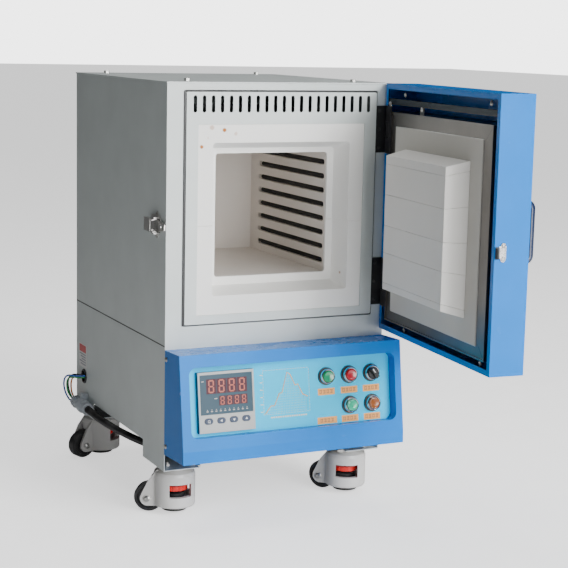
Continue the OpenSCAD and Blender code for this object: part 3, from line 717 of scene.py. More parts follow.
def spotted_fibre():
    """The mouth's fibre with rusty spots near its upper left corner."""
    material = mouth_fibre().copy()
    material.name = "spotted fibre"
    tree = material.node_tree
    shader = tree.nodes["Principled BSDF"]
    tone = shader.inputs["Base Color"].links[0].from_socket
    place = object_place(tree)
    blur = add_noise(tree, place, 260.0, 4.0, 0.7)
    for x, z, size, depth in RUST_SPOTS:
        away = tree.nodes.new("ShaderNodeVectorMath")
        away.operation = "DISTANCE"
        away.inputs[1].default_value = at(x, -4.5, z)
        tree.links.new(place, away.inputs[0])
        reach = add_math(tree, "ADD", away.outputs["Value"],
                         add_math(tree, "MULTIPLY", blur, 0.003))
        mask = add_ramp(tree, reach, (size + 2.6) * MM, (size + 0.6) * MM)
        tone = mix_colour(tree, mask, tone, (0.42, 0.15, 0.03), depth)
    tree.links.new(tone, shader.inputs["Base Color"])
    return material


def caster_coat():
    return coated("caster coat", tuple(colours().caster), 0.4, bump=0.35, wear=0.4,
                  worn=(0.8, 0.8, 0.78), dust=0.3)


def node_finishes():
    """The material of each CAD node that stays visible."""
    lining = fibre_board("chamber lining", (0.84, 0.81, 0.77), (0.74, 0.66, 0.58), 0.7, 0.6)
    rubber = coated("pad rubber", (0.02, 0.02, 0.02), 0.7, wear=0.2, worn=(0.1, 0.1, 0.1),
                    dust=0.4)
    nylon = coated("wheel nylon", (0.015, 0.015, 0.017), 0.45, wear=0.4, worn=(0.1, 0.1, 0.1),
                   dust=0.3)
    red = coated("thumb red", (0.68, 0.015, 0.01), 0.35, wear=0.3, worn=(0.8, 0.3, 0.25),
                 dust=0.1, width=0.0005)
    grey = coated("meter grey", (0.40, 0.41, 0.40), 0.48, grain=1600.0, wear=0.2, dust=0.05)
    keys = coated("key silicone", (0.015, 0.035, 0.08), 0.5, grain=2000.0, wear=0.25,
                  worn=(0.1, 0.14, 0.2), dust=0.05, width=0.0004)
    finishes = {
        cabinet_paint(): ("upper_casing", "top_cover", "rear_panel", "mouth_plate",
                          "lower_chassis"),
        sheet_metal("galvanised", (0.5, 0.51, 0.52), 0.45): ("inner_shell",),
        mouth_fibre(): ("insulation", "mouth_frame_lower"),
        door_fibre_with_painted_shade(): ("door_board",),
        spotted_fibre(): ("mouth_frame_upper",),
        lining: ("chamber_sides", "chamber_roof", "hearth", "chamber_back"),
        coated("fired sheath", (0.72, 0.66, 0.52), 0.3, wear=0.3): ("thermocouple",),
        dark_metal(): ("floor_pan", "hinge_cabinet_halves", "hinge_door_halves"),
        blue_paint(): ("control_housing",),
        door_paint_with_rim_shade(): ("door_shell",),
        grey: ("controller_case",),
        black_plastic(): ("switch_bodies", "power_relay", "selector_knob"),
        grey_plastic(): ("conduit_connectors",),
        stainless(): ("latch_base", "latch_lever", "latch_hook"),
        tray_steel(): ("door_frame",),
        zinc(): ("case_screws", "caster_plates"),
        coated("green cap", (0.0, 0.32, 0.09), 0.22, wear=0.2, dust=0.04, coat=0.5,
               width=0.0004): ("button_green",),
        coated("red cap", (0.55, 0.008, 0.012), 0.22, wear=0.2, dust=0.04, coat=0.5,
               width=0.0004): ("button_red",),
        coated("navy coat", (0.008, 0.02, 0.06), 0.35, wear=0.3, worn=(0.06, 0.08, 0.14),
               coat=0.3): ("door_handle",),
        keys: ("key_1", "key_2", "key_3", "key_4"),
        caster_coat(): tuple("caster_housing_" + c for c in CASTERS),
        nylon: tuple("caster_wheel_" + c for c in CASTERS),
        rubber: tuple("leveling_pad_" + c for c in CASTERS),
        red: tuple("thumb_wheel_" + c for c in CASTERS),
    }
    return {node: material for material, nodes in finishes.items() for node in nodes}


# ---------- operators ----------

class KILN_OT_stage(bpy.types.Operator):
    """Floor, soft lights and the camera"""
    bl_idname = "kiln.stage"
    bl_label = "Stage"

    def execute(self, context):
        self.floor()
        self.lights()
        self.camera()
        return {"FINISHED"}

    def floor(self):
        start_clean()
        bpy.ops.mesh.primitive_plane_add(size=40, location=(0, 12, at(0, 0, FLOOR_Z).z - 0.0004))
        floor = bpy.context.object
        floor.name = "floor"
        paper = coated("pale floor", (0.88, 0.88, 0.88), 0.7, wear=0, dust=0.02, bump=0.02)
        tree = paper.node_tree
        seen = tree.nodes.new("ShaderNodeLightPath").outputs["Is Camera Ray"]
        shader = tree.nodes["Principled BSDF"]
        shader.inputs["Emission Color"].default_value = (1, 1, 1, 1)
        tree.links.new(add_math(tree, "MULTIPLY", seen, 1.1), shader.inputs["Emission Strength"])
        floor.data.materials.append(paper)

    def lights(self):
        world = bpy.data.worlds.new("studio")
        bpy.context.scene.world = world
        world.use_nodes = True
        tree = world.node_tree
        dim = tree.nodes["Background"]
        dim.inputs["Color"].default_value = (0.90, 0.95, 1.0, 1)
        dim.inputs["Strength"].default_value = 0.03
        bright = tree.nodes.new("ShaderNodeBackground")
        bright.inputs["Color"].default_value = (1, 1, 1, 1)
        bright.inputs["Strength"].default_value = 4.0
        path = tree.nodes.new("ShaderNodeLightPath")
        mix = tree.nodes.new("ShaderNodeMixShader")
        tree.links.new(path.outputs["Is Camera Ray"], mix.inputs[0])
        tree.links.new(dim.outputs[0], mix.inputs[1])
        tree.links.new(bright.outputs[0], mix.inputs[2])
        tree.links.new(mix.outputs[0], tree.nodes["World Output"].inputs["Surface"])
        power = sizes().key_light
        for name, place, size, watts in (
                ("key softbox", (1.35, -3.2, 2.0), 1.6, power * 1.1),
                ("front fill", (0.45, -3.6, 0.75), 1.8, power * 0.68),
                ("side fill", (-3.4, 0.6, 1.8), 2.0, power * 0.012),
                ("top softbox", (0.1, 0.4, 3.2), 2.2, power * 0.30)):
            bpy.ops.object.light_add(type="AREA", location=place)
            light = bpy.context.object
            light.name = name
            light.data.size = size
            light.data.energy = watts
            aim = Vector((0.05, -0.05, 0.4)) - Vector(place)
            light.rotation_euler = aim.to_track_quat("-Z", "Y").to_euler()

    def camera(self):
        azimuth, pitch, roll = (math.radians(a) for a in (25.57, 9.34, 1.26))
        ahead = Vector((math.sin(azimuth) * math.cos(pitch), math.cos(azimuth) * math.cos(pitch),
                        -math.sin(pitch)))
        right = Vector((math.cos(azimuth), -math.sin(azimuth), 0))
        up = right.cross(ahead)
        right, up = (math.cos(roll) * right + math.sin(roll) * up,
                     math.cos(roll) * up - math.sin(roll) * right)
        data = bpy.data.cameras.new("camera")
        data.lens = 95.99
        data.sensor_width = 36
        camera = bpy.data.objects.new("camera", data)
        turn = Matrix((right, up, -ahead)).transposed().to_4x4()
        camera.matrix_world = Matrix.Translation(at(-846.0, -2199.5, 491.7)) @ turn
        bpy.context.scene.collection.objects.link(camera)
        bpy.context.scene.camera = camera


class KILN_OT_finish_frame(bpy.types.Operator):
    """Gives each CAD node its finish"""
    bl_idname = "kiln.finish_frame"
    bl_label = "Frame finishes"

    def execute(self, context):
        for node, material in node_finishes().items():
            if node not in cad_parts:
                raise RuntimeError("no node " + node)
            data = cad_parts[node].data
            data.materials.clear()
            data.materials.append(material)
        return {"FINISHED"}


class KILN_OT_elements(bpy.types.Operator):
    """Wound heating coils in the chamber's grooves, with their leads"""
    bl_idname = "kiln.elements"
    bl_label = "Heating coils"

    def execute(self, context):
        pitch, wire = sizes().coil_pitch, sizes().coil_wire
        length, coil_r = 244.0, 3.3
        coil = wire_circle("element_coils", wire, coil_r, 6, turn=0)
        apply_modifier(coil, "SCREW", angle=2 * math.pi, screw_offset=pitch * MM, steps=9,
                       render_steps=9, iterations=int(length / pitch), axis="Z",
                       use_smooth_shade=True)
        places = [move_to(x, 51, ELEMENT_LOW + ELEMENT_PITCH * i) @ turned_by(-90, "X")
                  for x in ELEMENT_X for i in range(8)]
        coils = copies(coil, places)
        lead = turned("lead", [(1.6, 0), (2.5, 1.5), (2.5, 150), (1.6, 152)], 16)
        ends = [move_to(x, 296, ELEMENT_LOW + ELEMENT_PITCH * i) @ turned_by(-90, "X")
                for x in ELEMENT_X for i in (0, 7)]
        leads = copies(lead, ends)
        whole = join("element_coils", [coils, leads])
        burnt = coated("oxidised wire", (0.030, 0.026, 0.024), 0.6, 0.4, wear=0.3,
                       worn=(0.12, 0.09, 0.07), dust=0.15, width=0.0004)
        finish_piece(whole, "cabinet", burnt)
        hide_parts("heating_elements")
        return {"FINISHED"}


class KILN_OT_panel_overlay(bpy.types.Operator):
    """Printed film on the floor of the panel's recess, with a firing curve and label strips"""
    bl_idname = "kiln.panel_overlay"
    bl_label = "Panel overlay"

    def execute(self, context):
        self.film()
        self.graph()
        self.labels()
        return {"FINISHED"}

    def film(self):
        film = block("panel_film", (15.3, -131.2, 0.02), (379.7, -20.3, 0.32), 0)
        take(film)
        bpy.ops.object.mode_set(mode="EDIT")
        bpy.ops.mesh.select_mode(type="EDGE")
        bpy.ops.mesh.select_all(action="DESELECT")
        bpy.ops.object.mode_set(mode="OBJECT")
        for edge in film.data.edges:
            a, b = (film.data.vertices[v].co for v in edge.vertices)
            edge.select = abs(a.z - b.z) > 1e-5
        bpy.ops.object.mode_set(mode="EDIT")
        bpy.ops.mesh.bevel(offset=11 * MM, segments=8, affect="EDGES")
        bpy.ops.mesh.select_mode(type="VERT")
        bpy.ops.object.mode_set(mode="OBJECT")
        on_film(film)
        colour = tuple(colours().overlay)
        finish_piece(film, "cabinet", coated("overlay film", colour, 0.3, grain=1800.0, bump=0.1,
                                             wear=0, dust=0.01, sheen=0.1))

    def graph(self):
        """A firing curve over hatching, in a dashed border with ticks."""
        x0, x1, low, high = 149.0, 231.0, -106.0, -35.0
        wide, tall = x1 - x0, high - low
        steps = ((0.03, 0.02), (0.15, 0.19), (0.23, 0.19), (0.34, 0.46), (0.40, 0.47),
                 (0.52, 0.93), (0.59, 0.87), (0.69, 0.62), (0.75, 0.64), (0.85, 0.40),
                 (0.96, 0.34))
        dashes = []
        for k in range(17):
            x = x0 + wide * k / 17
            for y in (low, high):
                dashes.append(block("dash", (x, y - 0.3, 0.3), (x + 3.2, y + 0.3, 0.42), 0.05, 1))
        for k in range(15):
            y = low + tall * k / 15
            for x in (x0, x1):
                dashes.append(block("dash", (x - 0.3, y, 0.3), (x + 0.3, y + 3.0, 0.42), 0.05, 1))
        for k in range(6):
            y = low + tall * k / 6 + 4
            dashes.append(block("tick", (x0 - 5.5, y, 0.3), (x0 - 1.2, y + 1.3, 0.42), 0.05, 1))
        for k in range(16):
            x = x0 + 12 + 4.1 * k
            dashes.append(block("tick", (x, low - 6.6, 0.3), (x + 2.9, low - 4.2, 0.42), 0.05, 1))
        for (u, v), (w, q) in zip(steps, steps[1:]):
            count = max(1, round((w - u) / 0.035))
            for k in range(count):
                x = x0 + wide * (u + (w - u) * k / count)
                top = low + tall * (v + (q - v) * k / count)
                for y in range(int(low) + 2, int(top) - 1, 4):
                    dashes.append(block("hatch", (x - 0.2, y, 0.3), (x + 0.2, y + 2.2, 0.4), 0, 1))
        whole = join("graph_border", dashes)
        on_film(whole)
        cream = coated("cream print", (0.72, 0.66, 0.45), 0.45, grain=2000.0, wear=0, dust=0.03)
        finish_piece(whole, "cabinet", cream)
        path = [on_panel(x0 + wide * u, -(low + tall * v), RECESS - 0.7).to_translation()
                for u, v in steps]
        curve = tube_along("firing_curve", path, 0.8, sides=1)
        orange = coated("orange print", (0.95, 0.45, 0.12), 0.45, grain=2000.0, wear=0, dust=0.02)
        finish_piece(curve, "cabinet", orange)

    def labels(self):
        """Orange strips under the switches, each with a row of plain marks."""
        strips, marks = [], []
        for x, s in [(x, 77.3) for x in COLUMNS] + [(x, 124.4) for x in COLUMNS]:
            wide = 15.5 if (x, s) != (COLUMNS[0], 124.4) else 18.0
            strips.append(block("strip", (x - wide, -s - 5.6, 0.25),
                                (x + wide, -s + 5.6, 0.4), 0.1, 1))
            for k in range(4):
                left = x - 12.6 + 6.5 * k
                post = 0.4 + k % 2
                for xs, ys in (((0, 4.8), (-2.8, -1.9)), ((0, 4.8), (2.0, 2.9)),
                               ((post, post + 0.9), (-2.8, 2.9)), ((3.2, 4.1), (-2.4, 2.4))):
                    marks.append(block("mark", (left + xs[0], ys[0] - s, 0.35),
                                       (left + xs[1], ys[1] - s, 0.55), 0.08, 1))
        whole = join("label_strips", strips)
        on_film(whole)
        orange = coated("label orange", (0.90, 0.40, 0.09), 0.45, grain=2000.0, wear=0, dust=0.03)
        finish_piece(whole, "cabinet", orange)
        rows = join("label_marks", marks)
        on_film(rows)
        finish_piece(rows, "cabinet", coated("label print", (0.40, 0.12, 0.04), 0.45, grain=2000.0,
                                             wear=0))


class KILN_OT_controller(bpy.types.Operator):
    """Window, figures, indicator marks and key symbols of the controller"""
    bl_idname = "kiln.controller"
    bl_label = "Controller face"

    def execute(self, context):
        window = block("meter_window", (36.8, -96.7, 8.25), (126.2, -33.8, 8.75), 0.3)
        on_film(window)
        glass = coated("meter window", (0.045, 0.085, 0.115), 0.30, grain=2400.0, bump=0.04,
                       wear=0, dust=0.03, sheen=0.15)
        finish_piece(window, "cabinet", glass)
        # painted shadow: a black block below the meter window stands in for the shade around the
        # controller case's foot
        shadow = block("meter_foot_shadow", (33.25, -125.75, 0.2), (129.75, -29.25, 6.6), 0.2)
        on_film(shadow)
        finish_piece(shadow, "cabinet", black_plastic())
        self.figures("large_figures", 47.0, 117.5, 40.5, 64.0)
        self.figures("small_figures", 68.0, 117.5, 68.0, 83.2)
        self.marks()
        self.key_symbols()
        return {"FINISHED"}

    def figures(self, name, left, right, top, bottom):
        """A row of seven-segment eights on darker panes."""
        count = sizes().digits
        cell = (right - left) / count
        w, h, bar = cell * 0.56, (bottom - top) * 0.88, cell * 0.13
        parts, panes = [], []
        for i in range(count):
            x = left + cell * (i + 0.5)
            y = -(top + bottom) / 2
            panes.append(block("pane", (x - cell * 0.48, y - (bottom - top) / 2, 8.7),
                               (x + cell * 0.48, y + (bottom - top) / 2, 8.85), 0.05, 1))
            for row in (-1, 0, 1):
                cy = y + row * (h / 2 - bar / 2)
                parts.append(block("bar", (x - w / 2 + bar * 0.7, cy - bar / 2, 8.8),
                                   (x + w / 2 - bar * 0.7, cy + bar / 2, 9.0), bar * 0.3, 1))
            for side in (-1, 1):
                for half in (-1, 1):
                    cx = x + side * (w / 2 - bar / 2)
                    cy = y + half * h / 4
                    parts.append(block("bar", (cx - bar / 2, cy - h / 4 + bar * 0.6, 8.8),
                                       (cx + bar / 2, cy + h / 4 - bar * 0.6, 9.0), bar * 0.3, 1))
        row = join(name, parts)
        on_film(row)
        lit = glowing("figure red", (0.40, 0.085, 0.05), 0.12)
        finish_piece(row, "cabinet", lit)
        back = join(name + "_panes", panes)
        on_film(back)
        dark = coated("figure pane", (0.085, 0.035, 0.045), 0.4, grain=2400.0, bump=0.05,
                      wear=0, dust=0.02, sheen=0.1)
        finish_piece(back, "cabinet", dark)

    def marks(self):
        marks = []
        for i in range(10):
            x = 48 + i * 7.55
            marks.append(block("mark", (x - 1.6, -92.4, 8.7), (x + 1.6, -90.8, 8.9), 0.15, 1))
            marks.append(block("mark", (x - 0.7, -89.6, 8.7), (x + 0.7, -88.4, 8.9), 0.15, 1))
        marks.append(block("mark", (39.5, -44.5, 8.7), (43.5, -43.2, 8.9), 0.15, 1))
        marks.append(block("mark", (60.5, -72.5, 8.7), (65.5, -71.0, 8.9), 0.15, 1))
        row = join("indicator_marks", marks)
        on_film(row)
        finish_piece(row, "cabinet", coated("pale print", (0.42, 0.40, 0.38), 0.4, grain=2400.0,
                                            wear=0, dust=0.02))

    def key_symbols(self):
        """A loop, and arrows left, down and up."""
        for i, (x, turn) in enumerate(zip(KEY_X, (None, 90, 180, 0))):
            if turn is None:
                symbol = round_ring("key_symbol_1", 1.9, 0.32, 24, 6)
                tail = block("tail", (1.2, -2.6, -0.3), (1.9, 0, 0.3), 0.1, 1)
                symbol = join("key_symbol_1", [symbol, tail])
            else:
                start_clean()
                bpy.ops.mesh.primitive_cylinder_add(vertices=3, radius=2.4 * MM, depth=0.4 * MM)
                symbol = bpy.context.object
                symbol.name = "key_symbol_%d" % (i + 1)
                symbol.rotation_euler = (0, 0, math.radians(turn))
                write_place(symbol)
                round_edges(symbol, 0.12, 1)
            write_place(symbol, on_panel(x, KEY_S, 9.85))
            finish_piece(symbol, ("key_one", "key_two", "key_three", "key_four")[i],
                         white_print())


class KILN_OT_switches(bpy.types.Operator):
    """Polished rings, lamp lenses, button faces and the selector's pointer"""
    bl_idname = "kiln.switches"
    bl_label = "Switch fronts"

    def execute(self, context):
        ring = turned("switch_rings", [(12.15, 3.1), (12.4, 3.6), (12.4, 8.6), (11.8, 10.1),
                                       (10.9, 10.7), (10.2, 10.4), (9.75, 9.6), (9.75, 4.0)],
                      48, closed=False)
        spots = [(x, ROWS[0]) for x in COLUMNS] + [(x, ROWS[1]) for x in COLUMNS[1:]]
        rings = copies(ring, [on_panel(x, s) for x, s in spots])
        finish_piece(rings, "cabinet", chrome())
        self.lens("lamp_green", COLUMNS[1], (0.0, 0.50, 0.28))
        self.lens("lamp_amber", COLUMNS[2], (0.30, 0.08, 0.01))
        self.caps()
        self.pointer()
        return {"FINISHED"}

    def lens(self, name, x, colour):
        """A domed lens with moulded rings around its middle."""
        profile = [(9.2, 2.2), (9.2, 11.5)]
        profile += [(9.2 - 0.75 * k, 11.5 + 0.75 * math.sqrt(k) * 1.5 + (0.35 if k % 2 else 0))
                    for k in range(1, 11)]
        lens = turned(name, profile, 40)
        write_place(lens, on_panel(x, ROWS[1]))
        finish_piece(lens, "cabinet", lens_glass(name + " lens", colour))
        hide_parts("lamp_lenses")

    def caps(self):
        for name, x, body, slot in (("button_green_face", COLUMNS[0], "start_button", "green_cap"),
                                    ("button_red_face", COLUMNS[1], "stop_button", "red_cap")):
            face = turned(name, [(8.0, 11.75), (8.2, 12.1), (7.6, 12.4), (6.8, 12.2),
                                 (1.0, 11.9)], 40)
            write_place(face, on_panel(x, ROWS[0]))
            colour = (0.0, 0.26, 0.12) if slot == "green_cap" else (0.45, 0.012, 0.03)
            # painted glow: the lens material's faint emission lights these button faces, which
            # have no lamp
            gloss_and_painted_glow = lens_glass(slot.replace("_", " ") + " face", colour, 0.2)
            finish_piece(face, body, gloss_and_painted_glow)

    def pointer(self):
        line = block("selector_pointer", (-0.9, 1.0, 18.8), (0.9, 8.6, 19.4), 0.3)
        write_place(line, on_panel(COLUMNS[2], ROWS[0]) @ turned_by(35, "Z"))
        finish_piece(line, "selector", white_print())
        disc = turned("selector_disc", [(9.2, 10.6), (9.2, 11.4), (8.4, 12.0), (4.0, 12.0)], 40)
        write_place(disc, on_panel(COLUMNS[2], ROWS[0]))
        finish_piece(disc, "selector", black_plastic())


class KILN_OT_door_lining(bpy.types.Operator):
    """Layered plug, board seams, mitre seams and the door's screws"""
    bl_idname = "kiln.door_lining"
    bl_label = "Door lining"

    def execute(self, context):
        self.plug()
        self.mitres()
        self.screws()
        self.keeper()
        return {"FINISHED"}

    def plug(self):
        """Stacked fibre slabs a hair apart, all tapered towards one point in front."""
        levels = (80, 92, 145, 193, 247, 300, 315)
        left, right, back, front, gap = 85.5, 309.5, -5.3, 30.9, 0.12
        narrowing = (210.6 / 224, 1, 215.5 / 235)
        middle = Vector((210.87, front, 206.54)) * MM
        slabs = []
        for low, high in zip(levels, levels[1:]):
            slab = block("slab", (left, back, low + gap), (right, front, high - gap), 0)
            for vertex in slab.data.vertices:
                vertex.select = vertex.co.y > 0
            for part in (*slab.data.edges, *slab.data.polygons):
                part.select = all(slab.data.vertices[v].select for v in part.vertices)
            bpy.ops.object.mode_set(mode="EDIT")
            bpy.ops.transform.resize(value=narrowing, center_override=middle)
            bpy.ops.object.mode_set(mode="OBJECT")
            slabs.append(on_cabinet(round_edges(slab, 0.5, 2)))
        plug = join("plug_slabs", slabs)
        write_place(plug, on_open_door())
        finish_piece(plug, "door", plug_fibre())
        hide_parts("door_plug")

    def mitres(self):
        """Folded corners of the steel tray, each a thin seam over a mitred strip."""
        x0, x1, z0, z1 = 20.0, 370.0, 26.5, 371.5
        strips = []
        for x, z, turn in ((x0, z0, 45), (x1, z0, 135), (x1, z1, 225), (x0, z1, 315)):
            seam = block("seam", (2.2, -6.62, -0.3), (34, -6.55, 0.3), 0.1, 1)
            write_place(seam, move_to(x, 0, z) @ turned_by(-turn, "Y"))
            strips.append(seam)
        seams = join("tray_mitres", strips)
        write_place(seams, on_open_door())
        finish_piece(seams, "door", dark_metal())
        lips = []
        for low, high in (((48.4, -6.7, 44.2), (350.2, -6.2, 45.4)),
                          ((48.4, -6.7, 348.1), (350.2, -6.2, 349.3)),
                          ((48.4, -6.7, 45.4), (49.6, -6.2, 348.1)),
                          ((349.0, -6.7, 45.4), (350.2, -6.2, 348.1))):
            lips.append(block("lip", low, high, 0.2))
        lip = join("board_lip", lips)
        on_door(lip)
        finish_piece(lip, "door", stainless())

    def screws(self):
        """Pan-head screws in the door's recess, with crossed slots."""
        screw = cross_screw("door_screws", 4.0, 2.0)
        inward = turned_by(-90, "X")
        spots = [(330, -12, 400.5), (258, -7.3, 380.5), (374.5, -6, 384), (36, -10, 401.5),
                 (374.5, -12, 47.5), (306.5, -12, 19.5), (41, -12, 19.5)]
        screws = copies(screw, [on_open_door() @ move_to(*spot) @ inward for spot in spots])
        finish_piece(screws, "door", zinc())
        tab = block("tray_tab", (251, -8.6, 370), (265, -7.2, 385), 0.3)
        on_door(tab)
        finish_piece(tab, "door", dark_metal())

    def keeper(self):
        """Waisted strike plate with two screws and the dark tab that the hook catches."""
        edge = block("keeper_plate", (-0.9, -23.6, 182), (1.0, -12.2, 199.4), 0.3)
        ears = []
        for z in (180.8, 200.6):
            ear = turned("ear", [(4.3, 0), (4.3, 1.6), (3.9, 1.9)], 28)
            write_place(ear, move_to(1.0, -18.8, z) @ turned_by(-90, "Y"))
            ears.append(ear)
        on_cabinet(edge)
        plate = join("keeper_plate", [edge] + ears)
        write_place(plate, on_open_door())
        finish_piece(plate, "door", chrome())
        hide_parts("latch_keeper")
        tab = block("keeper_tab", (-7.0, -9.5, 182), (1.0, -7.0, 197), 0.4)
        foot = block("foot", (-0.8, -12.4, 181), (1.0, -6.6, 199), 0.3)
        tab = join("keeper_tab", [tab, foot])
        on_door(tab)
        finish_piece(tab, "door", dark_metal())
        screw = cross_screw("keeper_screws", 2.7, 1.2)
        places = [on_open_door() @ move_to(-0.9, -18.8, z) @ turned_by(-90, "Y")
                  for z in (180.8, 200.6)]
        finish_piece(copies(screw, places), "door", zinc())


def cross_screw(name, radius, height):
    """A domed screw head with a crossed slot cut by a boolean."""
    head = turned(name, [(radius, 0), (radius, height * 0.35), (radius * 0.86, height * 0.75),
                         (radius * 0.5, height), (radius * 0.1, height * 1.02)], 20)
    bars = [block("bar", (-radius * 0.6, -radius * 0.13, height * 0.5),
                  (radius * 0.6, radius * 0.13, height * 2), 0),
            block("bar", (-radius * 0.13, -radius * 0.6, height * 0.5),
                  (radius * 0.13, radius * 0.6, height * 2), 0)]
    for bar in bars:
        apply_modifier(head, "BOOLEAN", operation="DIFFERENCE", object=bar, solver="EXACT")
        bpy.data.objects.remove(bar)
    return soften(head)


class KILN_OT_casing_details(bpy.types.Operator):
    """Screws, grommet, label plate, hinge screws and latch rivets on the cabinet"""
    bl_idname = "kiln.casing_details"
    bl_label = "Casing details"

    def execute(self, context):
        self.label_plate()
        self.seams()
        grommet = round_ring("grommet_ring", 11.6, 2.0, 40, 12)
        write_place(grommet, move_to(-0.3, 410, -135) @ turned_by(90, "Y"))
        finish_piece(grommet, "cabinet", black_plastic())
        screw = cross_screw("hinge_screws", 2.8, 1.3)
        places = [move_to(373, -2, z) @ turned_by(90, "X")
                  for z in (56, 87.5, 119, 311, 341.5, 372)]
        finish_piece(copies(screw, places), "cabinet", dark_metal())
        rivet = cross_screw("latch_screws", 2.6, 1.2)
        places = [move_to(-1.5, 38, LATCH_Z + k * 16.5) @ turned_by(-90, "Y") for k in (-1, 1)]
        finish_piece(copies(rivet, places), "cabinet", zinc())
        return {"FINISHED"}

    def label_plate(self):
        plate = block("label_plate", (-0.5, 397, -120), (0.0, 440, -76), 0.2)
        on_cabinet(plate)
        finish_piece(plate, "cabinet", coated("label white", (0.78, 0.78, 0.76), 0.4, grain=2000.0,
                                              wear=0.3))
        marks = block("warning_marks", (-0.75, 400, -91.5), (-0.45, 437, -78), 0.2, 1)
        on_cabinet(marks)
        finish_piece(marks, "cabinet", coated("warning red", (0.60, 0.03, 0.03), 0.4, wear=0.3))
        lines = [block("line", (-0.7, 401, -96.5 - 4.6 * k),
                       (-0.45, 436 - 6 * (k % 3), -94 - 4.6 * k), 0.1, 1) for k in range(5)]
        rows = join("warning_lines", lines)
        on_cabinet(rows)
        finish_piece(rows, "cabinet", coated("grey print", (0.30, 0.30, 0.34), 0.4, wear=0))

    def seams(self):
        """Dark strips as painted shadow: along the joint around the casing, and in the gap beside
        the mouth plate.
        """
        # painted shadow: dark strips along the casing's joint stand in for the shade in its gap
        strips = [block("seam", (-0.35, 0.6, -0.9), (0.1, 455.4, 0.9), 0.15, 1),
                  block("seam", (391.9, 0.6, -0.9), (392.35, 455.4, 0.9), 0.15, 1),
                  block("seam", (0.6, 455.9, -0.9), (391.4, 456.3, 0.9), 0.15, 1)]
        seam = join("casing_joint_shadow", strips)
        on_cabinet(seam)
        finish_piece(seam, "cabinet", dark_metal())
        rails = [block("rail", (x, 24, -204.3), (x + 1.5, 432, -175.2), 0.3) for x in (66, 324.5)]
        rail = join("under_rails", rails)
        on_cabinet(rail)
        finish_piece(rail, "cabinet", dark_metal())
        # painted shadow: black strips in the gap beside the mouth plate, wider on the left where
        # the shadow is wider
        strips = [block("gap_shadow", (27.8, -2.2, 31.9), (31.0, 0.1, 403.4), 0.4, 2),
                  block("gap_shadow", (366.0, -2.2, 31.9), (367.6, 0.1, 403.4), 0.4, 2),
                  block("gap_shadow", (30.8, -2.2, 401.5), (366.2, 0.1, 403.4), 0.4, 2),
                  block("gap_shadow", (30.8, -2.2, 31.9), (366.2, 0.1, 33.5), 0.4, 2)]
        gap_shadow = join("mouth_gap_shadow", strips)
        on_cabinet(gap_shadow)
        finish_piece(gap_shadow, "cabinet", black_plastic())


class KILN_OT_cables(bpy.types.Operator):
    """Coloured leads, the ribbed connector and the corrugated conduit"""
    bl_idname = "kiln.cables"
    bl_label = "Cables"

    def execute(self, context):
        self.leads()
        self.conduit()
        self.ribs()
        return {"FINISHED"}

    def leads(self):
        outer = [(403, -133), (403, -133), (411, -133), (430, -136), (448, -144), (459, -158),
                 (460, -174), (448, -186), (434, -186.5), (414, -186.4)]
        inner = [(408, -137), (408, -137), (415, -137), (430, -140), (444, -147), (453, -159),
                 (453, -172), (445, -180), (434, -181.6), (414, -181.6)]
        depths = {
            "lead_blue": ([10, -8, -21, -24, -25, -24, -21, -17, -14.4, -14.4], outer, 0),
            "lead_green": ([10, -6, -17, -20, -21, -20, -18, -15, -14.4, -14.4], inner, 0),
            "lead_black": ([10, -4, -13, -16, -17, -16, -13, -10.5, -9.6, -9.6], outer, 10),
            "lead_orange": ([10, -3, -9, -12, -13, -12, -11, -10, -9.6, -9.6], inner, 10)}
        tints = {"lead_blue": (0.02, 0.12, 0.55), "lead_green": (0.02, 0.30, 0.08),
                 "lead_black": (0.02, 0.02, 0.02), "lead_orange": (0.75, 0.22, 0.02)}
        for name, (xs, side, shift) in depths.items():
            near = (shift, shift, shift * 0.8, 1 if shift else 0)
            route = [(x, y + (near[i] if i < len(near) else 0), z)
                     for i, (x, (y, z)) in enumerate(zip(xs, side))]
            lead = tube_along(name, smooth_route(route, 5), 1.6, sides=3)
            finish_piece(lead, "cabinet", coated(name.replace("_", " "), tints[name], 0.35,
                                                 grain=1500.0, wear=0, dust=0.2))
            if name == "lead_blue":
                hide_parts("wires")

    def conduit(self):
        route = [(-12, 364, -184), (-12, 348, -184), (-11.5, 330, -184.8), (-10, 300, -187),
                 (-6, 255, -189), (1, 205, -190.3), (8, 165, -191), (14, 130, -190.4),
                 (17, 100, -188.4), (18, 82, -184), (18, 72, -177), (18, 69, -170)]
        path = smooth_route(route, 16)
        hose = tube_along("conduit_hose", path, 6.4, lambda i: 1.0 if i % 2 else 0.84, sides=5)
        black = coated("conduit black", (0.012, 0.012, 0.013), 0.4, wear=0.3,
                       worn=(0.08, 0.08, 0.08), dust=0.35)
        finish_piece(hose, "cabinet", black)
        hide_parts("conduit")

    def ribs(self):
        rib = round_ring("sleeve_ribs", 10.0, 1.1, 32, 8)
        places = [move_to(-12, y, -184) @ turned_by(90, "X")
                  for y in (354, 358, 362, 366, 392, 396, 418, 422)]
        nut = turned("sleeve_nut", [(10.2, 0), (12.6, 1.2), (12.6, 15), (11.8, 17),
                                    (10.2, 18)], 10)
        write_place(nut, move_to(-12, 389, -184) @ turned_by(90, "X"))
        ribs = join("sleeve_ribs", [copies(rib, places), nut])
        finish_piece(ribs, "cabinet", grey_plastic())


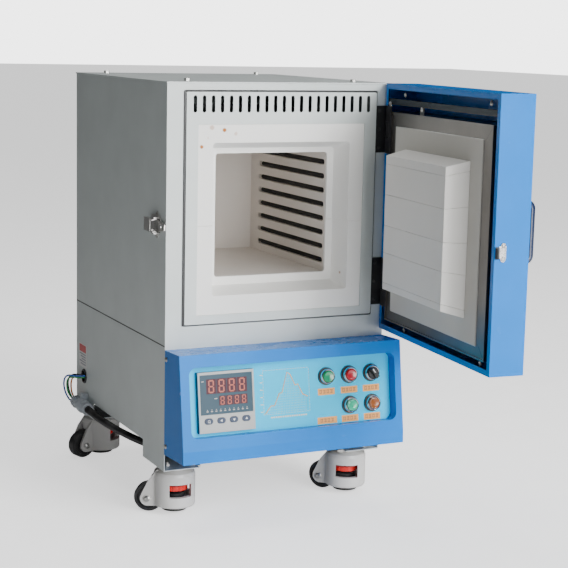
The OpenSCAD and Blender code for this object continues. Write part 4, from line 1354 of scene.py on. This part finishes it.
class KILN_OT_caster_details(bpy.types.Operator):
    """Bearing rings, axle caps, pad collars and tread lines of the casters"""
    bl_idname = "kiln.caster_details"
    bl_label = "Caster details"

    def execute(self, context):
        for corner in CASTERS:
            ring = turned("bearing_ring_" + corner, [(22.5, 79.2), (23.4, 79.5), (23.4, 80.1),
                                                     (22.5, 80.3)], 40)
            write_place(ring, at_caster(corner))
            finish_piece(ring, "caster_" + corner, dark_metal())
            cap = turned("axle_caps_" + corner, [(5.2, 0), (5.2, 0.6), (4.4, 1.3), (2.6, 1.7),
                                                 (2.2, 1.2), (0.6, 1.1)], 28)
            places = [at_axle(corner, k * 19.4) @ turned_by(-90 * k, "X") for k in (-1, 1)]
            finish_piece(copies(cap, places), "caster_" + corner, zinc())
            collar = turned("pad_collar_" + corner, [(9, 19.5), (16, 22), (17.4, 27), (17.4, 32),
                                                    (16, 33.5), (6, 33.5)], 40)
            write_place(collar, at_caster(corner))
            finish_piece(collar, "pad_" + corner, dark_metal())
            tread = round_ring("tread_lines_" + corner, 23.6, 0.45, 64, 6)
            places = [at_axle(corner, k) @ turned_by(90, "X") for k in (-5, 5)]
            finish_piece(copies(tread, places), "wheel_" + corner, black_plastic())
        return {"FINISHED"}


class KILN_PT_panel(bpy.types.Panel):
    """Lists the steps that make the kiln"""
    bl_label = "Box Kiln"
    bl_idname = "KILN_PT_panel"
    bl_space_type = "VIEW_3D"
    bl_region_type = "UI"
    bl_category = "Kiln"

    def draw(self, context):
        for settings in (context.scene.kiln_colours, context.scene.kiln_sizes):
            for key in settings.bl_rna.properties.keys():
                if key not in {"rna_type", "name"}:
                    self.layout.prop(settings, key)
        for step in STEPS:
            self.layout.operator(step.bl_idname)


STEPS = (KILN_OT_stage, KILN_OT_finish_frame, KILN_OT_elements, KILN_OT_panel_overlay,
         KILN_OT_controller, KILN_OT_switches, KILN_OT_door_lining, KILN_OT_casing_details,
         KILN_OT_cables, KILN_OT_caster_details)
CLASSES = (KilnColours, KilnSizes) + STEPS + (KILN_PT_panel,)


def register():
    for kind in CLASSES:
        bpy.utils.register_class(kind)
    bpy.types.Scene.kiln_colours = PointerProperty(type=KilnColours)
    bpy.types.Scene.kiln_sizes = PointerProperty(type=KilnSizes)


def unregister():
    del bpy.types.Scene.kiln_sizes
    del bpy.types.Scene.kiln_colours
    for kind in reversed(CLASSES):
        bpy.utils.unregister_class(kind)


def main():
    register()
    bpy.ops.kiln.stage()
    bpy.ops.kiln.finish_frame()
    bpy.ops.kiln.elements()
    bpy.ops.kiln.panel_overlay()
    bpy.ops.kiln.controller()
    bpy.ops.kiln.switches()
    bpy.ops.kiln.door_lining()
    bpy.ops.kiln.casing_details()
    bpy.ops.kiln.cables()
    bpy.ops.kiln.caster_details()


if __name__ == "__main__":
    main()
